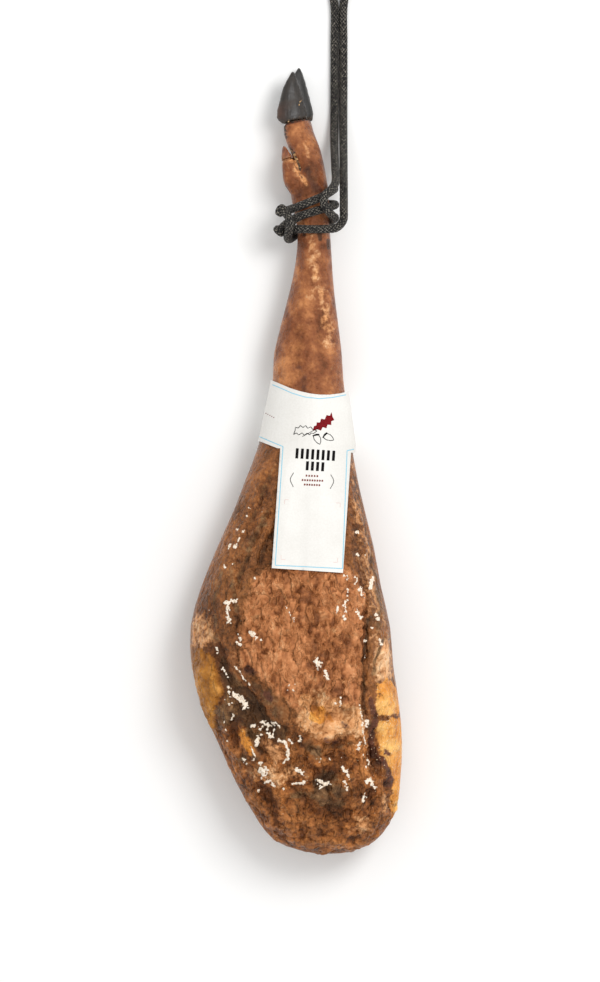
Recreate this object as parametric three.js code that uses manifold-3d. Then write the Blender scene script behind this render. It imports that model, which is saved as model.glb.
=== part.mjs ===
// Cured ham: a whole dry-cured leg with the foot on, a card label round the shank and a cord tied to it.
// The leg lies on its rind with the flesh side up. Millimetres, +Z up, +Y towards the foot.
// The origin is on the surface under the middle of the leg.
import * as THREE from 'three';
import { mergeVertices } from 'three/addons/utils/BufferGeometryUtils.js';
import Module from 'manifold-3d';

// ---- driving sizes ----
const LEG_LENGTH = 800;        // butt to hoof tips
const THIGH_WIDTH = 216;       // widest part, across the flesh side
const THIGH_THICKNESS = 126;   // surface to the top of the flesh
const SHANK_WIDTH = 34;        // at the cord
const SHANK_THICKNESS = 38;    // at the cord, surface side to flesh side
const SHANK_RISE = 42;         // middle of the shank above the surface at the cord
const SHANK_SIDE = 16;         // middle of the shank to the right of the leg's middle at the cord
const FOOT_WIDTH = 27.5;       // front to back at the hoof line
const FOOT_THICKNESS = 45;     // across both toes at the hoof line
const FOOT_SIDE = 2.5;         // middle of the foot to the right of the leg's middle at the hoof line
const TOE_SPLAY = 12;          // how far the foot's lower edge stands forward of its upper edge
const HOOF_LENGTH = 52;        // hoof line to hoof tips
const HOOF_LINE_SLOPE = 0.25;  // the hoof line is further forward at the front of the foot
const HOOF_STAGGER = 6;        // how far the outer hoof stands forward of the inner one
const CLEFT = 2.4;             // gap between the two hooves
const DEWCLAW_LENGTH = 52;     // root to tip
const DEWCLAW_HORN = 14;       // length of the bare horn at its tip
const DEWCLAW_RADIUS = 11;     // at its root
const DEWCLAW_LEAN = 0.26;     // radians, tip away from the foot
const LABEL_BAND = 64;         // height of the band round the shank
const LABEL_TONGUE_WIDTH = 72;
const LABEL_TONGUE_LENGTH = 121;
const LABEL_TILT = -0.07;      // radians, seen from above
const LABEL_TOP = 74;          // upper edge of the band, towards the foot from the leg's middle
const LABEL_SIDE = 24;         // middle of the tongue to the right of the leg's middle
const CARD_THICKNESS = 0.8;
const CARD_CLEARANCE = 0.8;    // card to skin
const CORD_DIAMETER = 8.4;
const HORN_GAP = 0.3;          // horn to the skin that it grows from

// ---- the leg's cross-sections, from the butt to the hoof line ----
// Each row gives where it is along the leg, its left and right edges, the underside and the top, how high
// its widest point is, as a share of its thickness, and how square it is: 2 is an ellipse.
const hoofLine = LEG_LENGTH / 2 - HOOF_LENGTH;

function thighRow(along, left, right, under, top, widest, squareness) {
  // along in shares of the length, edges in shares of the width, heights in shares of the thickness
  return {
    along: along * LEG_LENGTH,
    left: left * THIGH_WIDTH,
    right: right * THIGH_WIDTH,
    under: under * THIGH_THICKNESS,
    top: top * THIGH_THICKNESS,
    widest,
    squareness,
  };
}

function shankRow(behindHoofLine, side, width, rise, thickness) {
  // side and rise place the middle of the section, in millimetres from the shank's middle at the cord
  const middle = SHANK_SIDE + side;
  const height = SHANK_RISE + rise;
  return {
    along: hoofLine - behindHoofLine,
    left: middle - (width * SHANK_WIDTH) / 2,
    right: middle + (width * SHANK_WIDTH) / 2,
    under: height - (thickness * SHANK_THICKNESS) / 2,
    top: height + (thickness * SHANK_THICKNESS) / 2,
    widest: 0.5,
    squareness: 2,
  };
}

function footRow(behindHoofLine, side, width, rise, thickness) {
  const middle = FOOT_SIDE + side;
  const height = FOOT_THICKNESS / 2 + rise;
  return {
    along: hoofLine - behindHoofLine,
    left: middle - (width * FOOT_WIDTH) / 2,
    right: middle + (width * FOOT_WIDTH) / 2,
    under: height - (thickness * FOOT_THICKNESS) / 2,
    top: height + (thickness * FOOT_THICKNESS) / 2,
    widest: 0.5,
    squareness: 2.3,
  };
}

const rows = [
  thighRow(-0.5, 0.09, 0.21, 0.34, 0.5, 0.5, 2),
  thighRow(-0.491, -0.05, 0.33, 0.2, 0.62, 0.48, 2.2),
  thighRow(-0.474, -0.14, 0.41, 0.12, 0.73, 0.47, 2.3),
  thighRow(-0.446, -0.21, 0.465, 0.05, 0.82, 0.46, 2.4),
  thighRow(-0.41, -0.285, 0.49, 0, 0.89, 0.45, 2.4),
  thighRow(-0.36, -0.37, 0.5, -0.03, 0.92, 0.44, 2.4),
  thighRow(-0.31, -0.45, 0.485, -0.055, 0.99, 0.44, 2.4),
  thighRow(-0.262, -0.495, 0.458, -0.06, 1, 0.44, 2.4),
  thighRow(-0.21, -0.5, 0.442, -0.055, 0.98, 0.44, 2.35),
  thighRow(-0.16, -0.45, 0.4, -0.035, 0.93, 0.45, 2.3),
  thighRow(-0.11, -0.375, 0.366, -0.01, 0.87, 0.46, 2.3),
  thighRow(-0.065, -0.3, 0.325, 0.02, 0.81, 0.47, 2.25),
  thighRow(-0.022, -0.238, 0.288, 0.05, 0.755, 0.48, 2.2),
  thighRow(0.02, -0.18, 0.262, 0.08, 0.71, 0.49, 2.15),
  thighRow(0.065, -0.143, 0.24, 0.1, 0.665, 0.5, 2.1),
  thighRow(0.106, -0.112, 0.222, 0.115, 0.625, 0.5, 2.1),
  thighRow(0.14, -0.105, 0.214, 0.13, 0.59, 0.5, 2.05),
  shankRow(178, -0.5, 1.38, 0, 1.28),
  shankRow(148, 1.5, 1.12, 0.5, 1.12),
  shankRow(124, 2, 1.01, 0.5, 1.03),
  shankRow(108, 1, 0.98, 0, 1),
  shankRow(90, -1, 1.05, -1, 1.02),
  shankRow(74, -2.5, 1.15, -3, 1.06),
  footRow(57, 12, 1.17, 13, 1),
  footRow(42, 10.5, 1.08, 9.5, 0.98),
  footRow(26, 6, 1.1, 6, 0.98),
  footRow(12, 1.8, 1.1, 2.5, 1),
  footRow(0, 0, 1, 0, 1),
];

function rowCurve(first, second) {
  const points = rows.map((row) => new THREE.Vector3(row.along, row[first], row[second]));
  return new THREE.CatmullRomCurve3(points, false, 'catmullrom', 0.5);
}
const edges = rowCurve('left', 'right');
const heights = rowCurve('under', 'top');
const shapes = rowCurve('widest', 'squareness');

// Broad swellings and hollows of the flesh side: where they are, how far they reach, how high they stand.
const swellings = [
  { along: -258, side: 22, reach: 42, rise: 8 },     // hip bone
  { along: -262, side: -38, reach: 26, rise: -6 },   // cleft beside the hip bone
  { along: -225, side: -62, reach: 22, rise: -4 },
  { along: -215, side: 68, reach: 20, rise: -4 },    // groove between the lean and the fat
  { along: -290, side: 78, reach: 22, rise: -4 },
];

function rowAt(along) {
  let low = 0;
  let high = 1;
  for (let i = 0; i < 40; i += 1) {
    const middle = (low + high) / 2;
    if (edges.getPoint(middle).x < along) low = middle;
    else high = middle;
  }
  return (low + high) / 2;
}

const towards = (value, power) => Math.sign(value) * Math.abs(value) ** power;
const splayAt = (height) => TOE_SPLAY * (0.5 - height / FOOT_THICKNESS);

function skin(angle, t) {
  const edge = edges.getPoint(t);
  const height = heights.getPoint(t);
  const shape = shapes.getPoint(t);
  const middle = (edge.y + edge.z) / 2;
  const widest = height.y + shape.y * (height.z - height.y);
  const power = 2 / shape.z;
  const across = towards(Math.cos(angle), power);
  const up = towards(Math.sin(angle), power);
  const x = middle + (across * (edge.z - edge.y)) / 2;
  let z = widest + up * (up > 0 ? height.z - widest : widest - height.y);
  for (const swelling of swellings) {
    const far = Math.hypot(x - swelling.side, edge.x - swelling.along) / swelling.reach;
    if (up > 0) z += up * swelling.rise * Math.exp(-far * far);
  }
  // the rind settles flat on the surface, the hoof line leans forward at the front of the foot, and the
  // toe that lies underneath stands further forward
  const near = THREE.MathUtils.smoothstep(edge.x, hoofLine - 50, hoofLine);
  const along = edge.x + near * HOOF_LINE_SLOPE * (x - FOOT_SIDE);
  return new THREE.Vector3(x + near * splayAt(z), along, Math.max(z, 0));
}

function liftedSkin(angle, t, lift) {
  const step = 0.002;
  const around = skin(angle + step, t).sub(skin(angle - step, t));
  const along = skin(angle, t + step).sub(skin(angle, t - step));
  return skin(angle, t).addScaledVector(along.cross(around).normalize(), lift);
}

// ---- geometry helpers ----
function bare(geometry) {
  // only the positions are kept, and vertices that lie together become one
  for (const name of ['normal', 'uv']) geometry.deleteAttribute(name);
  return mergeVertices(geometry, 1e-5);
}

function remap(geometry, place) {
  const merged = bare(geometry);
  const position = merged.getAttribute('position');
  for (let i = 0; i < position.count; i += 1) {
    const from = new THREE.Vector3().fromBufferAttribute(position, i);
    position.setXYZ(i, ...place(from).toArray());
  }
  return merged;
}

function loft(sectionPoint, around, steps) {
  // sectionPoint(angle, share) is a point of the outline; the two ends are closed flat
  return remap(new THREE.CylinderGeometry(1, 1, 1, around, steps), (from) => {
    const share = from.y + 0.5;
    if (Math.hypot(from.x, from.z) > 0.5) return sectionPoint(Math.atan2(from.z, from.x), share);
    return sectionPoint(0, share).add(sectionPoint(Math.PI, share)).multiplyScalar(0.5);
  });
}

const wasm = await Module();
wasm.setup();

function solid(geometry) {
  const vertProperties = Float32Array.from(geometry.getAttribute('position').array);
  const triVerts = Uint32Array.from(geometry.getIndex().array);
  return new wasm.Manifold(new wasm.Mesh({ numProp: 3, vertProperties, triVerts }));
}

function surface(manifold) {
  const mesh = manifold.getMesh();
  const geometry = new THREE.BufferGeometry();
  geometry.setAttribute('position', new THREE.BufferAttribute(Float32Array.from(mesh.vertProperties), 3));
  geometry.setIndex(new THREE.BufferAttribute(Uint32Array.from(mesh.triVerts), 1));
  return geometry;
}

function piece(name, geometry, color, roughness) {
  geometry.computeVertexNormals();
  const mesh = new THREE.Mesh(geometry, new THREE.MeshStandardMaterial({ color, roughness, metalness: 0 }));
  mesh.name = name;
  return mesh;
}

// ---- the two dewclaws: one shape, whose skin belongs to the leg and whose tip is bare horn ----
const DEWCLAW_BACK = 76;             // root to hoof line
const DEWCLAW_SIDE = 0;              // root to the right of the leg's middle
const DEWCLAW_SPREAD = 12;           // each one's height above or below the pair's middle
const DEWCLAW_RISE = SHANK_RISE - 5; // the pair's middle above the surface

function dewclawPart(from, to, grow = 0) {
  const radiusAt = (distance) => {
    const share = distance / DEWCLAW_LENGTH;
    const root = 0.45 + 0.55 * THREE.MathUtils.smoothstep(distance, 0, 18);
    return DEWCLAW_RADIUS * root * Math.max(0, 1 - share ** 2) ** 0.8 * (1 - 0.1 * share) + grow;
  };
  const profile = [new THREE.Vector2(0, from)];
  const steps = 6;
  for (let i = 0; i <= steps; i += 1) {
    const distance = from + ((to - from) * i) / steps;
    if (radiusAt(distance) > 0) profile.push(new THREE.Vector2(radiusAt(distance), distance));
  }
  profile.push(new THREE.Vector2(0, to + grow));
  return new THREE.LatheGeometry(profile, 16);
}

function placedDewclaw(side, from, to, grow) {
  const height = DEWCLAW_RISE + (side === 'inner' ? DEWCLAW_SPREAD : -DEWCLAW_SPREAD);
  const leaning = dewclawPart(from, to, grow).rotateZ(DEWCLAW_LEAN);
  return bare(leaning.translate(DEWCLAW_SIDE, hoofLine - DEWCLAW_BACK, height));
}

const hornStart = DEWCLAW_LENGTH - DEWCLAW_HORN;
const dewclawRoot = (side) => solid(placedDewclaw(side, 0, hornStart + 1));
const hornPocket = (side) => solid(placedDewclaw(side, hornStart, DEWCLAW_LENGTH, HORN_GAP));

function dewclawHorn(side) {
  const geometry = placedDewclaw(side, hornStart + HORN_GAP, DEWCLAW_LENGTH);
  return piece(`dewclaw_${side}`, geometry, '#8d6141', 0.5);
}

// ---- ham: the leg and the dewclaws' roots are one grown body, with a pocket where each horn tip starts ----
const STEPS_PER_ROW = 2;
const legSolid = solid(loft(skin, 44, (rows.length - 1) * STEPS_PER_ROW));
const grownSolid = legSolid.add(dewclawRoot('inner')).add(dewclawRoot('outer'));
const hamSolid = grownSolid.subtract(hornPocket('inner')).subtract(hornPocket('outer'));
const ham = piece('ham', surface(hamSolid), '#8d5c3c', 0.5);

// ---- the two hooves ----
// Rows from the hoof line to the tip: share of the length, back edge and front edge in foot widths from the
// middle of the foot, and the thickness as a share of one toe's.
const hoofRows = [
  { share: 0, back: -0.46, front: 0.37, thick: 0.95 },
  { share: 0.14, back: -0.7, front: 0.415, thick: 1 },
  { share: 0.42, back: -0.61, front: 0.29, thick: 0.93 },
  { share: 0.7, back: -0.45, front: 0.13, thick: 0.75 },
  { share: 0.9, back: -0.25, front: 0.005, thick: 0.48 },
  { share: 1, back: -0.15, front: -0.08, thick: 0.16 },
];
const hoofCurve = (first, second) =>
  new THREE.CatmullRomCurve3(hoofRows.map((row) => new THREE.Vector3(row.share, row[first], row[second])));
const hoofEdges = hoofCurve('back', 'front');
const hoofThickness = hoofCurve('thick', 'thick');
const toeThickness = (FOOT_THICKNESS - CLEFT) / 2;

function hoof(name, height, stagger) {
  const length = HOOF_LENGTH - HOOF_STAGGER + stagger;
  const geometry = loft((angle, share) => {
    const edge = hoofEdges.getPoint(share);
    const across = (edge.y + edge.z) / 2 + (Math.cos(angle) * (edge.z - edge.y)) / 2;
    const side = FOOT_SIDE + FOOT_WIDTH * across;
    const along = hoofLine + HORN_GAP + edge.x * (length - HORN_GAP);
    const slope = HOOF_LINE_SLOPE * (1 - edge.x) ** 2;
    const up = (towards(Math.sin(angle), 0.8) * toeThickness * hoofThickness.getPoint(share).y) / 2;
    return new THREE.Vector3(side + splayAt(height + up), along + slope * (side - FOOT_SIDE), height + up);
  }, 24, 10);
  return piece(name, geometry, '#494440', 0.45);
}

// ---- label: a sleeve of card that follows the leg, cut to a band with a tongue ----
function cardSleeve() {
  const from = LABEL_TOP - LABEL_BAND - LABEL_TONGUE_LENGTH - 25;
  const to = LABEL_TOP + 30;
  const steps = 14;
  const profile = [];
  for (let i = 0; i <= steps; i += 1) profile.push(new THREE.Vector2(2, i / steps));
  for (let i = steps; i >= 0; i -= 1) profile.push(new THREE.Vector2(1, i / steps));
  profile.push(profile[0].clone());
  return remap(new THREE.LatheGeometry(profile, 48), (point) => {
    const lift = CARD_CLEARANCE + (Math.hypot(point.x, point.z) > 1.5 ? CARD_THICKNESS : 0);
    return liftedSkin(Math.atan2(point.z, point.x), rowAt(from + (to - from) * point.y), lift);
  });
}

function cutter(outline, low, high) {
  const shape = new THREE.Shape(outline.map(([x, y]) => new THREE.Vector2(x, y)));
  const geometry = new THREE.ExtrudeGeometry(shape, { depth: high - low, bevelEnabled: false });
  return solid(bare(geometry.translate(0, 0, low).rotateZ(LABEL_TILT).translate(LABEL_SIDE, LABEL_TOP, 0)));
}

const reach = THIGH_WIDTH;
const above = 2 * THIGH_THICKNESS;
const tongueSide = LABEL_TONGUE_WIDTH / 2;
// The card's upper edge is cut hollow, so that it sits round the taper of the shank.
const bandOutline = [
  [-reach, 9 - LABEL_BAND], [-64, 8 - LABEL_BAND], [-tongueSide - 3, -LABEL_BAND], [reach, 3 - LABEL_BAND],
  [reach, 2], [35, 2], [27, -1], [20, -3.9], [10, -6.1], [0, -6.8], [-10, -6.3], [-20, -4.8], [-30, -2.3],
  [-40, 1.2], [-48, 4.2], [-64, 10], [-reach, 10],
];
const band = cutter(bandOutline, -above, above);
const tongue = cutter([
  [-tongueSide, -LABEL_BAND - LABEL_TONGUE_LENGTH],
  [tongueSide, -LABEL_BAND - LABEL_TONGUE_LENGTH],
  [tongueSide, -LABEL_BAND / 2],
  [-tongueSide, -LABEL_BAND / 2],
], SHANK_RISE, above);
const label = piece('label', surface(solid(cardSleeve()).intersect(band.add(tongue))), '#fbf9f4', 0.6);

// ---- cord: one length, doubled. From one cut end it goes round the shank, out to the loop and back ----
const cordRoute = [
  [-19.5, 232.5, 50], [-12, 240.5, 55], [4.5, 249.5, 64], [27, 256.5, 64], [39.5, 262, 42], [27.5, 264, 18.3],
  [3.5, 261.5, 17.8], [-9, 256.5, 41], [3.5, 259.5, 64.5], [27, 269.5, 64], [38.5, 278, 42], [34, 277.5, 22],
  [16, 264, 6], [-2.5, 248, 20.5], [-7, 238, 42], [4.5, 236, 64.2], [27.5, 236, 65.2], [40.5, 237.5, 61],
  [47.4, 245, 57], [48.2, 258, 54], [48.2, 276, 50], [48.2, 300, 36], [48.2, 330, 14.5], [48.2, 356, 5.2],
  [48.3, 388, 4.4], [48.3, 431, 4.4], [48.6, 470, 4.4], [53, 492, 4.4], [57.2, 511, 4.4],
  [53.3, 521.4, 4.4], [43.8, 525.5, 4.4], [34.3, 521.4, 4.4], [30.4, 511, 4.4], [34.6, 492, 4.4],
  [39, 470, 4.4], [39.2, 431, 4.4], [39.2, 388, 4.4], [39, 356, 5.2], [38.8, 330, 16], [39.5, 302, 44],
  [39.5, 283, 63.5], [35.5, 276, 71],
  [29.5, 270.5, 74.5], [28, 261.5, 75], [32.5, 253.5, 72.5],
  [36.8, 249.5, 64], [38.9, 248, 43], [28, 243, 19.5], [5, 235.5, 19.5], [-7, 227, 41],
  [-9, 228.5, 55.5], [-7.5, 234.5, 66], [-6.5, 242.5, 70.5], [-9.5, 250, 69.5], [-18, 256.5, 63],
];
const CORD_SIDES = 8;
const CORD_STEPS = 80;

class CordPath extends THREE.CatmullRomCurve3 {
  // equal steps between the route's own points, so that the tight turns get as many as the long runs
  getUtoTmapping(u) {
    return u;
  }
}

function cordTube() {
  const path = new CordPath(cordRoute.map(([x, y, z]) => new THREE.Vector3(x, y, z)));
  const section = new THREE.Shape().absarc(0, 0, CORD_DIAMETER / 2, 0, 2 * Math.PI);
  const settings = { steps: CORD_STEPS, curveSegments: CORD_SIDES / 2, extrudePath: path };
  return bare(new THREE.ExtrudeGeometry(section, settings));
}

// ---- the object ----
const object = new THREE.Group();
object.add(
  ham,
  hoof('hoof_inner', FOOT_THICKNESS - toeThickness / 2, 0),
  hoof('hoof_outer', toeThickness / 2, HOOF_STAGGER),
  dewclawHorn('inner'),
  dewclawHorn('outer'),
  label,
  piece('rope', cordTube(), '#2b2826', 0.8),
);
export default object;
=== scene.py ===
# %% [markdown]
# # A cured ham, laid down on a pale table
# The leg, its two hooves, the dewclaws, the card label and the cord come from a measured model that
# stays fixed. Here each of them gets its real surface. Every size is in metres unless a name says mm.

import math

import bmesh
import bpy
import numpy as np
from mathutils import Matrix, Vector, noise
from mathutils.bvhtree import BVHTree
from mathutils.geometry import delaunay_2d_cdt


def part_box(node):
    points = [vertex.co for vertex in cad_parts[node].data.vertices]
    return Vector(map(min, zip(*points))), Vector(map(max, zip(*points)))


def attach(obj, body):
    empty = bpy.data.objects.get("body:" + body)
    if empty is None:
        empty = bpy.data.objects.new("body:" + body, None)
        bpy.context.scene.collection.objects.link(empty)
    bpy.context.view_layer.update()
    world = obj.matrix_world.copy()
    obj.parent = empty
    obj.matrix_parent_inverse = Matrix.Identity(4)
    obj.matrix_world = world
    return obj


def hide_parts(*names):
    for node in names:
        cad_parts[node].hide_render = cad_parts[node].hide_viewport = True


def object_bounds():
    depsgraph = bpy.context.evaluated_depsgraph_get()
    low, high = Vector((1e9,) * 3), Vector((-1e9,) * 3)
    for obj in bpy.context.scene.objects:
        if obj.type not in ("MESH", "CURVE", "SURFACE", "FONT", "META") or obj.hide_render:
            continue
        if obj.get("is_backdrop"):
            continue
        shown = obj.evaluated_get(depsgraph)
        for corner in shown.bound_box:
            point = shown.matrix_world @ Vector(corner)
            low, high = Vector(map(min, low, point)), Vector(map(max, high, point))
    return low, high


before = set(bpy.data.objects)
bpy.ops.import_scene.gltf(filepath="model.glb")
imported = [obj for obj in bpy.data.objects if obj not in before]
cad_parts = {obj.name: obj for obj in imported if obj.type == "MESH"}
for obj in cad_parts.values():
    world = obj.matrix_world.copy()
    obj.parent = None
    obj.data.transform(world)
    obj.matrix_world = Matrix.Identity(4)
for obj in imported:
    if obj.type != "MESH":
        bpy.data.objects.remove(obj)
measured_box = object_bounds()
bpy.ops.object.select_all(action="DESELECT")
MM = 0.001
NOISE_SEED = 7
noise.seed_set(NOISE_SEED)  # without it the noise vectors start from the clock
print("parts:", ", ".join(sorted(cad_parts)))

# %% [markdown]
# ## Colour and nodes
# Colours are written as the hex values that a paint chart gives. Blender mixes light in linear values,
# so one function turns the first into the second. A material is only nodes, their settings and the
# links between them, so one function adds a node, sets it and links it, and hands back its output.


# %% Helpers for materials
def linear(hex_value):
    parts = [int(hex_value[i : i + 2], 16) / 255 for i in (1, 3, 5)]
    return [c / 12.92 if c <= 0.04045 else ((c + 0.055) / 1.055) ** 2.4 for c in parts] + [1]


def plug(tree, node, inputs):
    # what goes into an input is a number, a colour, or the output that is linked to it
    for name, value in inputs.items():
        if isinstance(value, bpy.types.NodeSocket):
            tree.links.new(value, node.inputs[name])
        else:
            node.inputs[name].default_value = value


def add(tree, kind, inputs, out=0, stops=(), **settings):
    # stops are the positions and colours of a colour ramp, from low to high
    new = tree.nodes.new("ShaderNode" + kind)
    for name, value in settings.items():
        setattr(new, name, value)
    for position, _ in stops[1:-1]:
        new.color_ramp.elements.new(position)
    for k, (position, hex_value) in enumerate(stops):
        new.color_ramp.elements[k].position = position
        new.color_ramp.elements[k].color = linear(hex_value)
    plug(tree, new, inputs)
    return new.outputs[out]


def blank_material(name):
    material = bpy.data.materials.new(name)
    material.use_nodes = True
    return material, material.node_tree, material.node_tree.nodes["Principled BSDF"]


def object_place(tree):
    return add(tree, "TexCoord", {}, "Object")


# %% [markdown]
# ## Camera
# The leg is seen from straight above, from five metres away, as in a catalogue. A long lens keeps the
# sides parallel. The lens is worked out from the height that the view takes in at the leg's middle.

# %% Place the camera
VIEW_HEIGHT = 1.0
CAMERA_AWAY = 5.0
VIEW_MIDDLE = (0.0036, -0.0305, 0.060)

camera = bpy.data.objects.new("camera", bpy.data.cameras.new("camera"))
bpy.context.collection.objects.link(camera)
camera.location = (VIEW_MIDDLE[0], VIEW_MIDDLE[1], VIEW_MIDDLE[2] + CAMERA_AWAY)
camera.data.lens = camera.data.sensor_width * CAMERA_AWAY / VIEW_HEIGHT
bpy.context.scene.camera = camera
print("lens", round(camera.data.lens, 1), "mm")

# %% [markdown]
# ## The cord's route
# One cord of about 1.2 m hangs the leg up. From a cut end it goes three times round the shank, out in
# a doubled length to the loop that goes over a hook, back, over the wraps and down to its other end.
# The points are the middle of the cord, in millimetres. A centripetal spline goes through all of them
# and never loops between two points, which an ordinary one can do where points lie close together.

# %% The route and its spline
route_mm = [
    (-19.5, 232.5, 50), (-12, 240.5, 55), (4.5, 249.5, 64), (27, 256.5, 64), (39.5, 262, 42),
    (27.5, 264, 18.3), (3.5, 261.5, 17.8), (-9, 256.5, 41), (3.5, 259.5, 64.5), (27, 269.5, 64),
    (38.5, 278, 42), (34, 277.5, 22), (16, 264, 6), (-2.5, 248, 20.5), (-7, 238, 42),
    (4.5, 236, 64.2), (27.5, 236, 65.2), (40.5, 237.5, 61), (47.4, 245, 57), (48.2, 258, 54),
    (48.2, 276, 50), (48.2, 300, 36), (48.2, 330, 14.5), (48.2, 356, 5.2), (48.3, 388, 4.4),
    (48.3, 431, 4.4), (48.6, 470, 4.4), (53, 492, 4.4), (57.2, 511, 4.4), (53.3, 521.4, 4.4),
    (43.8, 525.5, 4.4), (34.3, 521.4, 4.4), (30.4, 511, 4.4), (34.6, 492, 4.4), (39, 470, 4.4),
    (39.2, 431, 4.4), (39.2, 388, 4.4), (39, 356, 5.2), (38.8, 330, 16), (39.5, 302, 44),
    (39.5, 283, 63.5), (35.5, 276, 71), (29.5, 270.5, 74.5), (28, 261.5, 75), (32.5, 253.5, 72.5),
    (36.8, 249.5, 64), (38.9, 248, 43), (28, 243, 19.5), (5, 235.5, 19.5), (-7, 227, 41),
    (-9, 228.5, 55.5), (-7.5, 234.5, 66), (-6.5, 242.5, 70.5), (-9.5, 250, 69.5), (-18, 256.5, 63),
]  # fmt: skip
CORD_DIAMETER = 0.0084
RING_SPACING = 0.001


def spline(points, steps_each=40):
    p = np.array(points, float)
    p = np.vstack([2 * p[0] - p[1], p, 2 * p[-1] - p[-2]])
    found = []
    for a, b, c, d in zip(p[:-3], p[1:-2], p[2:-1], p[3:]):
        near, here, far = (np.linalg.norm(y - x) ** 0.5 for x, y in ((a, b), (b, c), (c, d)))
        into = ((b - a) / near - (c - a) / (near + here) + (c - b) / here) * here
        out = ((c - b) / here - (d - b) / (here + far) + (d - c) / far) * here
        t = np.linspace(0, 1, steps_each, endpoint=False)[:, None]
        cubic = (2 * b - 2 * c + into + out) * t**3 + (-3 * b + 3 * c - 2 * into - out) * t**2
        found.append(cubic + into * t + b)
    return np.vstack([*found, p[-2:-1]])


def even_steps(points, spacing):
    gone = np.concatenate([[0], np.cumsum(np.linalg.norm(np.diff(points, axis=0), axis=1))])
    marks = np.linspace(0, gone[-1], round(gone[-1] / spacing) + 1)
    return np.stack([np.interp(marks, gone, points[:, k]) for k in range(3)], axis=1), gone[-1]


cord_middle, cord_length = even_steps(spline(route_mm) * MM, RING_SPACING)
print("cord", round(cord_length, 4), "m in", len(cord_middle), "rings")

# %% [markdown]
# ## The braided cord
# The cord is a hollow braid of black polyester: eight plaits go round to the left and eight to the
# right, one over and one under. A bevelled curve would be smooth, so the tube is built ring by ring,
# each ring square to the route, and its radius rises where a plait crosses on top. The cut ends were
# melted with a flame, which leaves a flared knob behind a neck of squeezed turns.

# %% Rings along the route
PLAITS = 8
CORD_SIDES = 32
PLAIT_RELIEF = 0.00042
PLAIT_LENGTH = 1.25  # a crossing is this much longer than it is wide
KNOB_RISE = 0.0023
NECK_PLACE = 0.008  # from the end
NECK_TURN = 0.0022


def rise(value, low, high):
    share = np.clip((value - low) / (high - low), 0, 1)
    return share * share * (3 - 2 * share)


def braid_height(around, along):
    # around and along are shares of a turn; 1 is the crown of a plait and 0 the gap beside it
    left = PLAITS * (around + along / PLAIT_LENGTH)
    right = PLAITS * (around - along / PLAIT_LENGTH)
    over = (np.floor(left) + np.floor(right)) % 2
    share = np.where(over > 0.5, left % 1, right % 1)
    other = np.where(over > 0.5, right % 1, left % 1)
    return (1 - (2 * share - 1) ** 2) * (0.55 + 0.45 * (1 - (2 * other - 1) ** 2))


def cord_radius(from_end, around, along):
    radius = CORD_DIAMETER / 2 + PLAIT_RELIEF * (braid_height(around, along) - 0.6)
    knob = KNOB_RISE * rise(0.0076 - from_end, 0, 0.003)
    at_neck = from_end - NECK_PLACE
    turns = 0.00025 * np.sin(from_end / NECK_TURN * 2 * math.pi) * np.exp(-((at_neck / 0.0035) ** 2))
    squeezed = 0.0002 * np.exp(-((at_neck / 0.003) ** 2))
    closing = np.where(from_end < 0.0003, 0.55, np.where(from_end < 0.0013, 0.93, 1.0))
    return (radius + knob + turns - squeezed) * closing


def ring_frames(middle):
    heading = np.gradient(middle, axis=0)
    heading /= np.linalg.norm(heading, axis=1)[:, None]
    side = np.cross(heading[0], (0, 0, 1))
    sides = []
    for ahead in heading:
        side = side - ahead * np.dot(side, ahead)
        side = side / np.linalg.norm(side)
        sides.append(side)
    return np.array(sides), np.cross(heading, np.array(sides))


def new_piece(name, points, faces, smooth=True):
    mesh = bpy.data.meshes.new(name)
    mesh.from_pydata([tuple(map(float, p)) for p in points], [], faces)
    mesh.polygons.foreach_set("use_smooth", [smooth] * len(mesh.polygons))
    made = bpy.data.objects.new(name, mesh)
    bpy.context.collection.objects.link(made)
    return made


# %% Skin the rings
def braided_tube(name, middle, length):
    side, up = ring_frames(middle)
    count = len(middle)
    turn = np.arange(CORD_SIDES) / CORD_SIDES
    gone = np.linspace(0, length, count)
    from_end = np.minimum(gone, length - gone)
    along = gone / (math.pi * CORD_DIAMETER)
    radius = cord_radius(from_end[:, None], turn[None, :], along[:, None])
    angle = 2 * math.pi * turn[None, :, None]
    rings = middle[:, None] + radius[..., None] * (
        np.cos(angle) * side[:, None] + np.sin(angle) * up[:, None]
    )
    faces = [
        (
            i * CORD_SIDES + j,
            i * CORD_SIDES + (j + 1) % CORD_SIDES,
            (i + 1) * CORD_SIDES + (j + 1) % CORD_SIDES,
            (i + 1) * CORD_SIDES + j,
        )
        for i in range(count - 1)
        for j in range(CORD_SIDES)
    ]
    faces.append(tuple(reversed(range(CORD_SIDES))))
    faces.append(tuple((count - 1) * CORD_SIDES + j for j in range(CORD_SIDES)))
    tube = new_piece(name, rings.reshape(-1, 3), faces)
    braid_map = tube.data.uv_layers.new(name="braid")
    for i in range(count - 1):
        for j in range(CORD_SIDES):
            first = (i * CORD_SIDES + j) * 4
            for k, (row, column) in enumerate(((i, j), (i, j + 1), (i + 1, j + 1), (i + 1, j))):
                braid_map.data[first + k].uv = (column / CORD_SIDES, along[row])
    return tube


cord = braided_tube("braided_cord", cord_middle, cord_length)
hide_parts("rope")
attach(cord, "root")
print("cord faces", len(cord.data.polygons))

# %% [markdown]
# ## The cord's finish
# Black polyester braid is dull, with fine filaments that catch the light along each plait. Its crowns are
# painted lighter, partly dust flecks and partly painted highlight, and its gaps stay black as painted
# shade.
# The braid's own map says how far round and along a point is, so the same over-and-under pattern is
# worked out again in nodes, finer than the mesh, with the threads in it.

# %% Material: black polyester braid
PLAIT_THREADS = 4
THREAD_SHARE = 0.18  # how high the threads stand on a plait, as a share of its own height
DUST_PER_METRE = 420


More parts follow.
